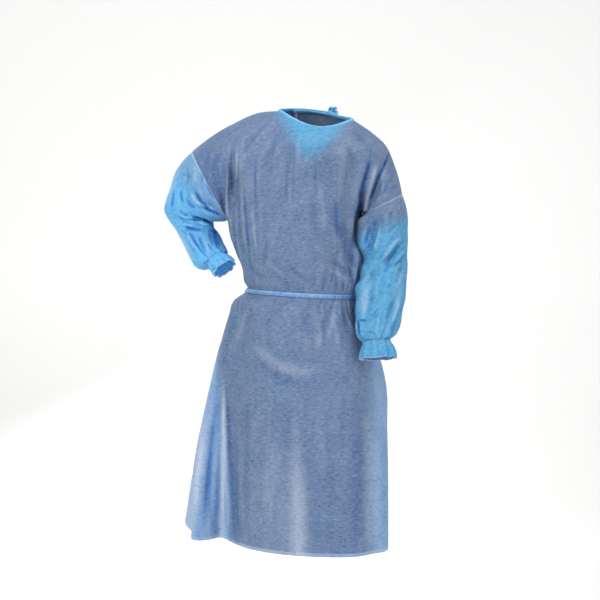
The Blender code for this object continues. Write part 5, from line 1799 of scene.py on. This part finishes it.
class MakeBelt(bpy.types.Operator):
    """Make the waist belt with its knot and two free ends"""

    bl_idname = "gown.make_belt"
    bl_label = "Waist belt"

    def execute(self, context):
        tape = context.scene.gown_colours.tape
        middle, wide, out = belt_path()
        middle += out * (BELT_LIFT + TAPE_THICK / 2)
        # Painted shade, deeper towards the belt's right
        deeper = BELT_RIGHT_SHADE * soft_step((middle[:, :1] - BELT_SHADE_FROM) / BELT_SHADE_OVER)
        belt = sweep_tape(
            "gown_belt", middle, wide, out, BELT_LOOP, tape, BELT_SEED, closed=True, deeper=deeper)
        stand_for(
            belt, "waist_belt", "trim", flat=BELT_FLAT, held="folded",
            rests_on=("front_panel", "back_panel_left"))
        place, face = lower_rows(1, np.array((KNOT_SHARE,)), np.array(((BELT_HEIGHT,),)))
        centre = place[0, 0] + face[0, 0] * KNOT_OUT
        add_knot_and_ties(
            "belt", "waist", centre, WAIST_TIE_AT, WAIST_TIE_LENGTH, WAIST_TIE_FLAT, tape, WAIST_TIE_SEED,
            panel_grids(context.scene.gown_sizes.creases)[1])
        return {"FINISHED"}


class MakeStitching(bpy.types.Operator):
    """Sew the hem, back opening, neck, belt and cuffs"""

    bl_idname = "gown.make_stitching"
    bl_label = "Stitching"

    def execute(self, context):
        sizes = context.scene.gown_sizes
        length = sizes.stitch / MM
        front, back, tucked = panel_grids(sizes.creases)
        row, inset = HEM_STITCH_ROW, OPENING_STITCH_COLUMNS
        hems = (front[row], back[row, :OVER_COLUMN + 1], tucked[row, UNDER_COLUMN:])
        openings = (back[row + 1:-2, OVER_COLUMN - inset], tucked[row + 1:-2, UNDER_COLUMN + inset])
        runs = [(line[:, :3], line[:, 3:6]) for line in (*hems, *openings)]
        add_stitches("gown_hem_stitches", runs, length, *HEM_STITCHES)
        edge, rise, out = neck_path(sizes.creases)
        face = edge - rise * NECK_STITCH_BELOW + out * (BINDING_WALL / 2 + STITCH_LIFT)
        add_stitches("gown_neck_stitches", [(face, out)], length, *NECK_STITCHES)
        middle, wide, out = belt_path()
        face = middle + out * (BELT_LIFT + TAPE_THICK)
        lines = [(face + wide * (BELT_SHOWN / 2 - BELT_STITCH_IN) * end, out) for end in (-1, 1)]
        add_stitches("gown_belt_stitches", lines, length, *BELT_STITCHES)
        cuffs = [[grid[CUFF_STITCH_ROW] for grid in cuff_surface(side)] for side in SIDES]
        add_stitches("gown_cuff_stitches", cuffs, length, *CUFF_STITCHES)
        return {"FINISHED"}


def add_light(name, at, aim, size, power, colour, factor):
    """A square soft light at a place, turned to face another, in metres."""
    lamp = bpy.data.lights.new(name, "AREA")
    lamp.shape = "SQUARE"
    lamp.size = size
    lamp.energy = power * factor
    lamp.color = colour
    item = add_object(name, lamp)
    item.location = at
    item.rotation_euler = (Vector(aim) - Vector(at)).to_track_quat("-Z", "Y").to_euler()


class MakeStage(bpy.types.Operator):
    """Make the floor, the soft lights and the camera"""

    bl_idname = "gown.make_stage"
    bl_label = "Stage"

    def execute(self, context):
        scene = context.scene
        stage = scene.gown_stage
        # A pale sheet: flat floor, then a quarter circle up into an upright sheet behind
        turn = np.linspace(0, math.pi / 2, PAPER_BEND_STEPS)[:, None]
        bend_depths = PAPER_BEND_AT + PAPER_BEND * np.sin(turn)
        bend_heights = PAPER_BEND - PAPER_BEND * np.cos(turn)
        behind = PAPER_BEND_AT + PAPER_BEND
        depths = np.concatenate(([[PAPER_NEAR], [PAPER_MIDDLE]], bend_depths, [[behind]]))
        heights = np.concatenate(([[0.0], [0.0]], bend_heights, [[PAPER_TOP]]))
        wide = np.linspace(-PAPER_HALF, PAPER_HALF, PAPER_LINES)[None]
        low = stage.floor / MM
        sheet = np.stack(np.broadcast_arrays(wide, depths, heights + low), axis=-1)
        mesh = bpy.data.meshes.new("studio_paper")
        places = grid_faces(*sheet.shape[:2], False, False)
        faces = places[..., 0] * sheet.shape[1] + places[..., 1]
        mesh.from_pydata((sheet.reshape(-1, 3) * MM).tolist(), [], faces.tolist())
        mesh.shade_smooth()
        paper = tuple(stage.paper)
        # Matt white studio paper: even, with the faintest grain.
        mesh.materials.append(plain_material(
            "studio paper, matt", 160.0, 2.0, ((0.3, shade(paper, 0.985)), (0.7, paper)), 0.9, 0.0))
        add_object("studio_paper", mesh)
        for light in LIGHTS:
            add_light(*light, stage.light)
        world = bpy.data.worlds.new("pale room")
        world.use_nodes = True
        backdrop = world.node_tree.nodes["Background"]
        backdrop.inputs["Color"].default_value = linear("#F8F8F8")
        backdrop.inputs["Strength"].default_value = stage.world
        scene.world = world
        scene.view_settings.view_transform = "Standard"
        lens = bpy.data.cameras.new("camera")
        lens.angle = stage.view
        lens.clip_end = CAMERA_REACH
        camera = add_object("camera", lens)
        camera.location = np.array(CAMERA_AT) * MM
        camera.rotation_euler = (math.pi / 2 - CAMERA_TILT, 0.0, 0.0)
        scene.camera = camera
        return {"FINISHED"}


OPERATORS = (MakePanels, MakeSleeves, MakeCuffs, MakeNeck, MakeBelt, MakeStitching, MakeStage)


class GownPanel(bpy.types.Panel):
    """Lists the gown's settings and the steps that make it"""

    bl_idname = "VIEW3D_PT_gown"
    bl_label = "Isolation gown"
    bl_space_type = "VIEW_3D"
    bl_region_type = "UI"
    bl_category = "Gown"

    def draw(self, context):
        scene = context.scene
        for group in (scene.gown_sizes, scene.gown_colours, scene.gown_stage):
            box = self.layout.box()
            for name in group.__annotations__:
                box.prop(group, name)
        for operator in OPERATORS:
            self.layout.operator(operator.bl_idname)


CLASSES = (GownSizes, GownColours, GownStage, *OPERATORS, GownPanel)


def register():
    """Register the add-on's classes and give the scene its settings."""
    for item in CLASSES:
        bpy.utils.register_class(item)
    bpy.types.Scene.gown_sizes = PointerProperty(type=GownSizes)
    bpy.types.Scene.gown_colours = PointerProperty(type=GownColours)
    bpy.types.Scene.gown_stage = PointerProperty(type=GownStage)


def unregister():
    """Take the settings and the classes away again."""
    del bpy.types.Scene.gown_stage
    del bpy.types.Scene.gown_colours
    del bpy.types.Scene.gown_sizes
    for item in reversed(CLASSES):
        bpy.utils.unregister_class(item)


def main():
    """Make the stage and the gown."""
    register()
    bpy.ops.gown.make_stage()
    bpy.ops.gown.make_panels()
    bpy.ops.gown.make_sleeves()
    bpy.ops.gown.make_cuffs()
    bpy.ops.gown.make_neck()
    bpy.ops.gown.make_belt()
    bpy.ops.gown.make_stitching()
    bpy.context.view_layer.update()


if __name__ == "__main__":
    main()
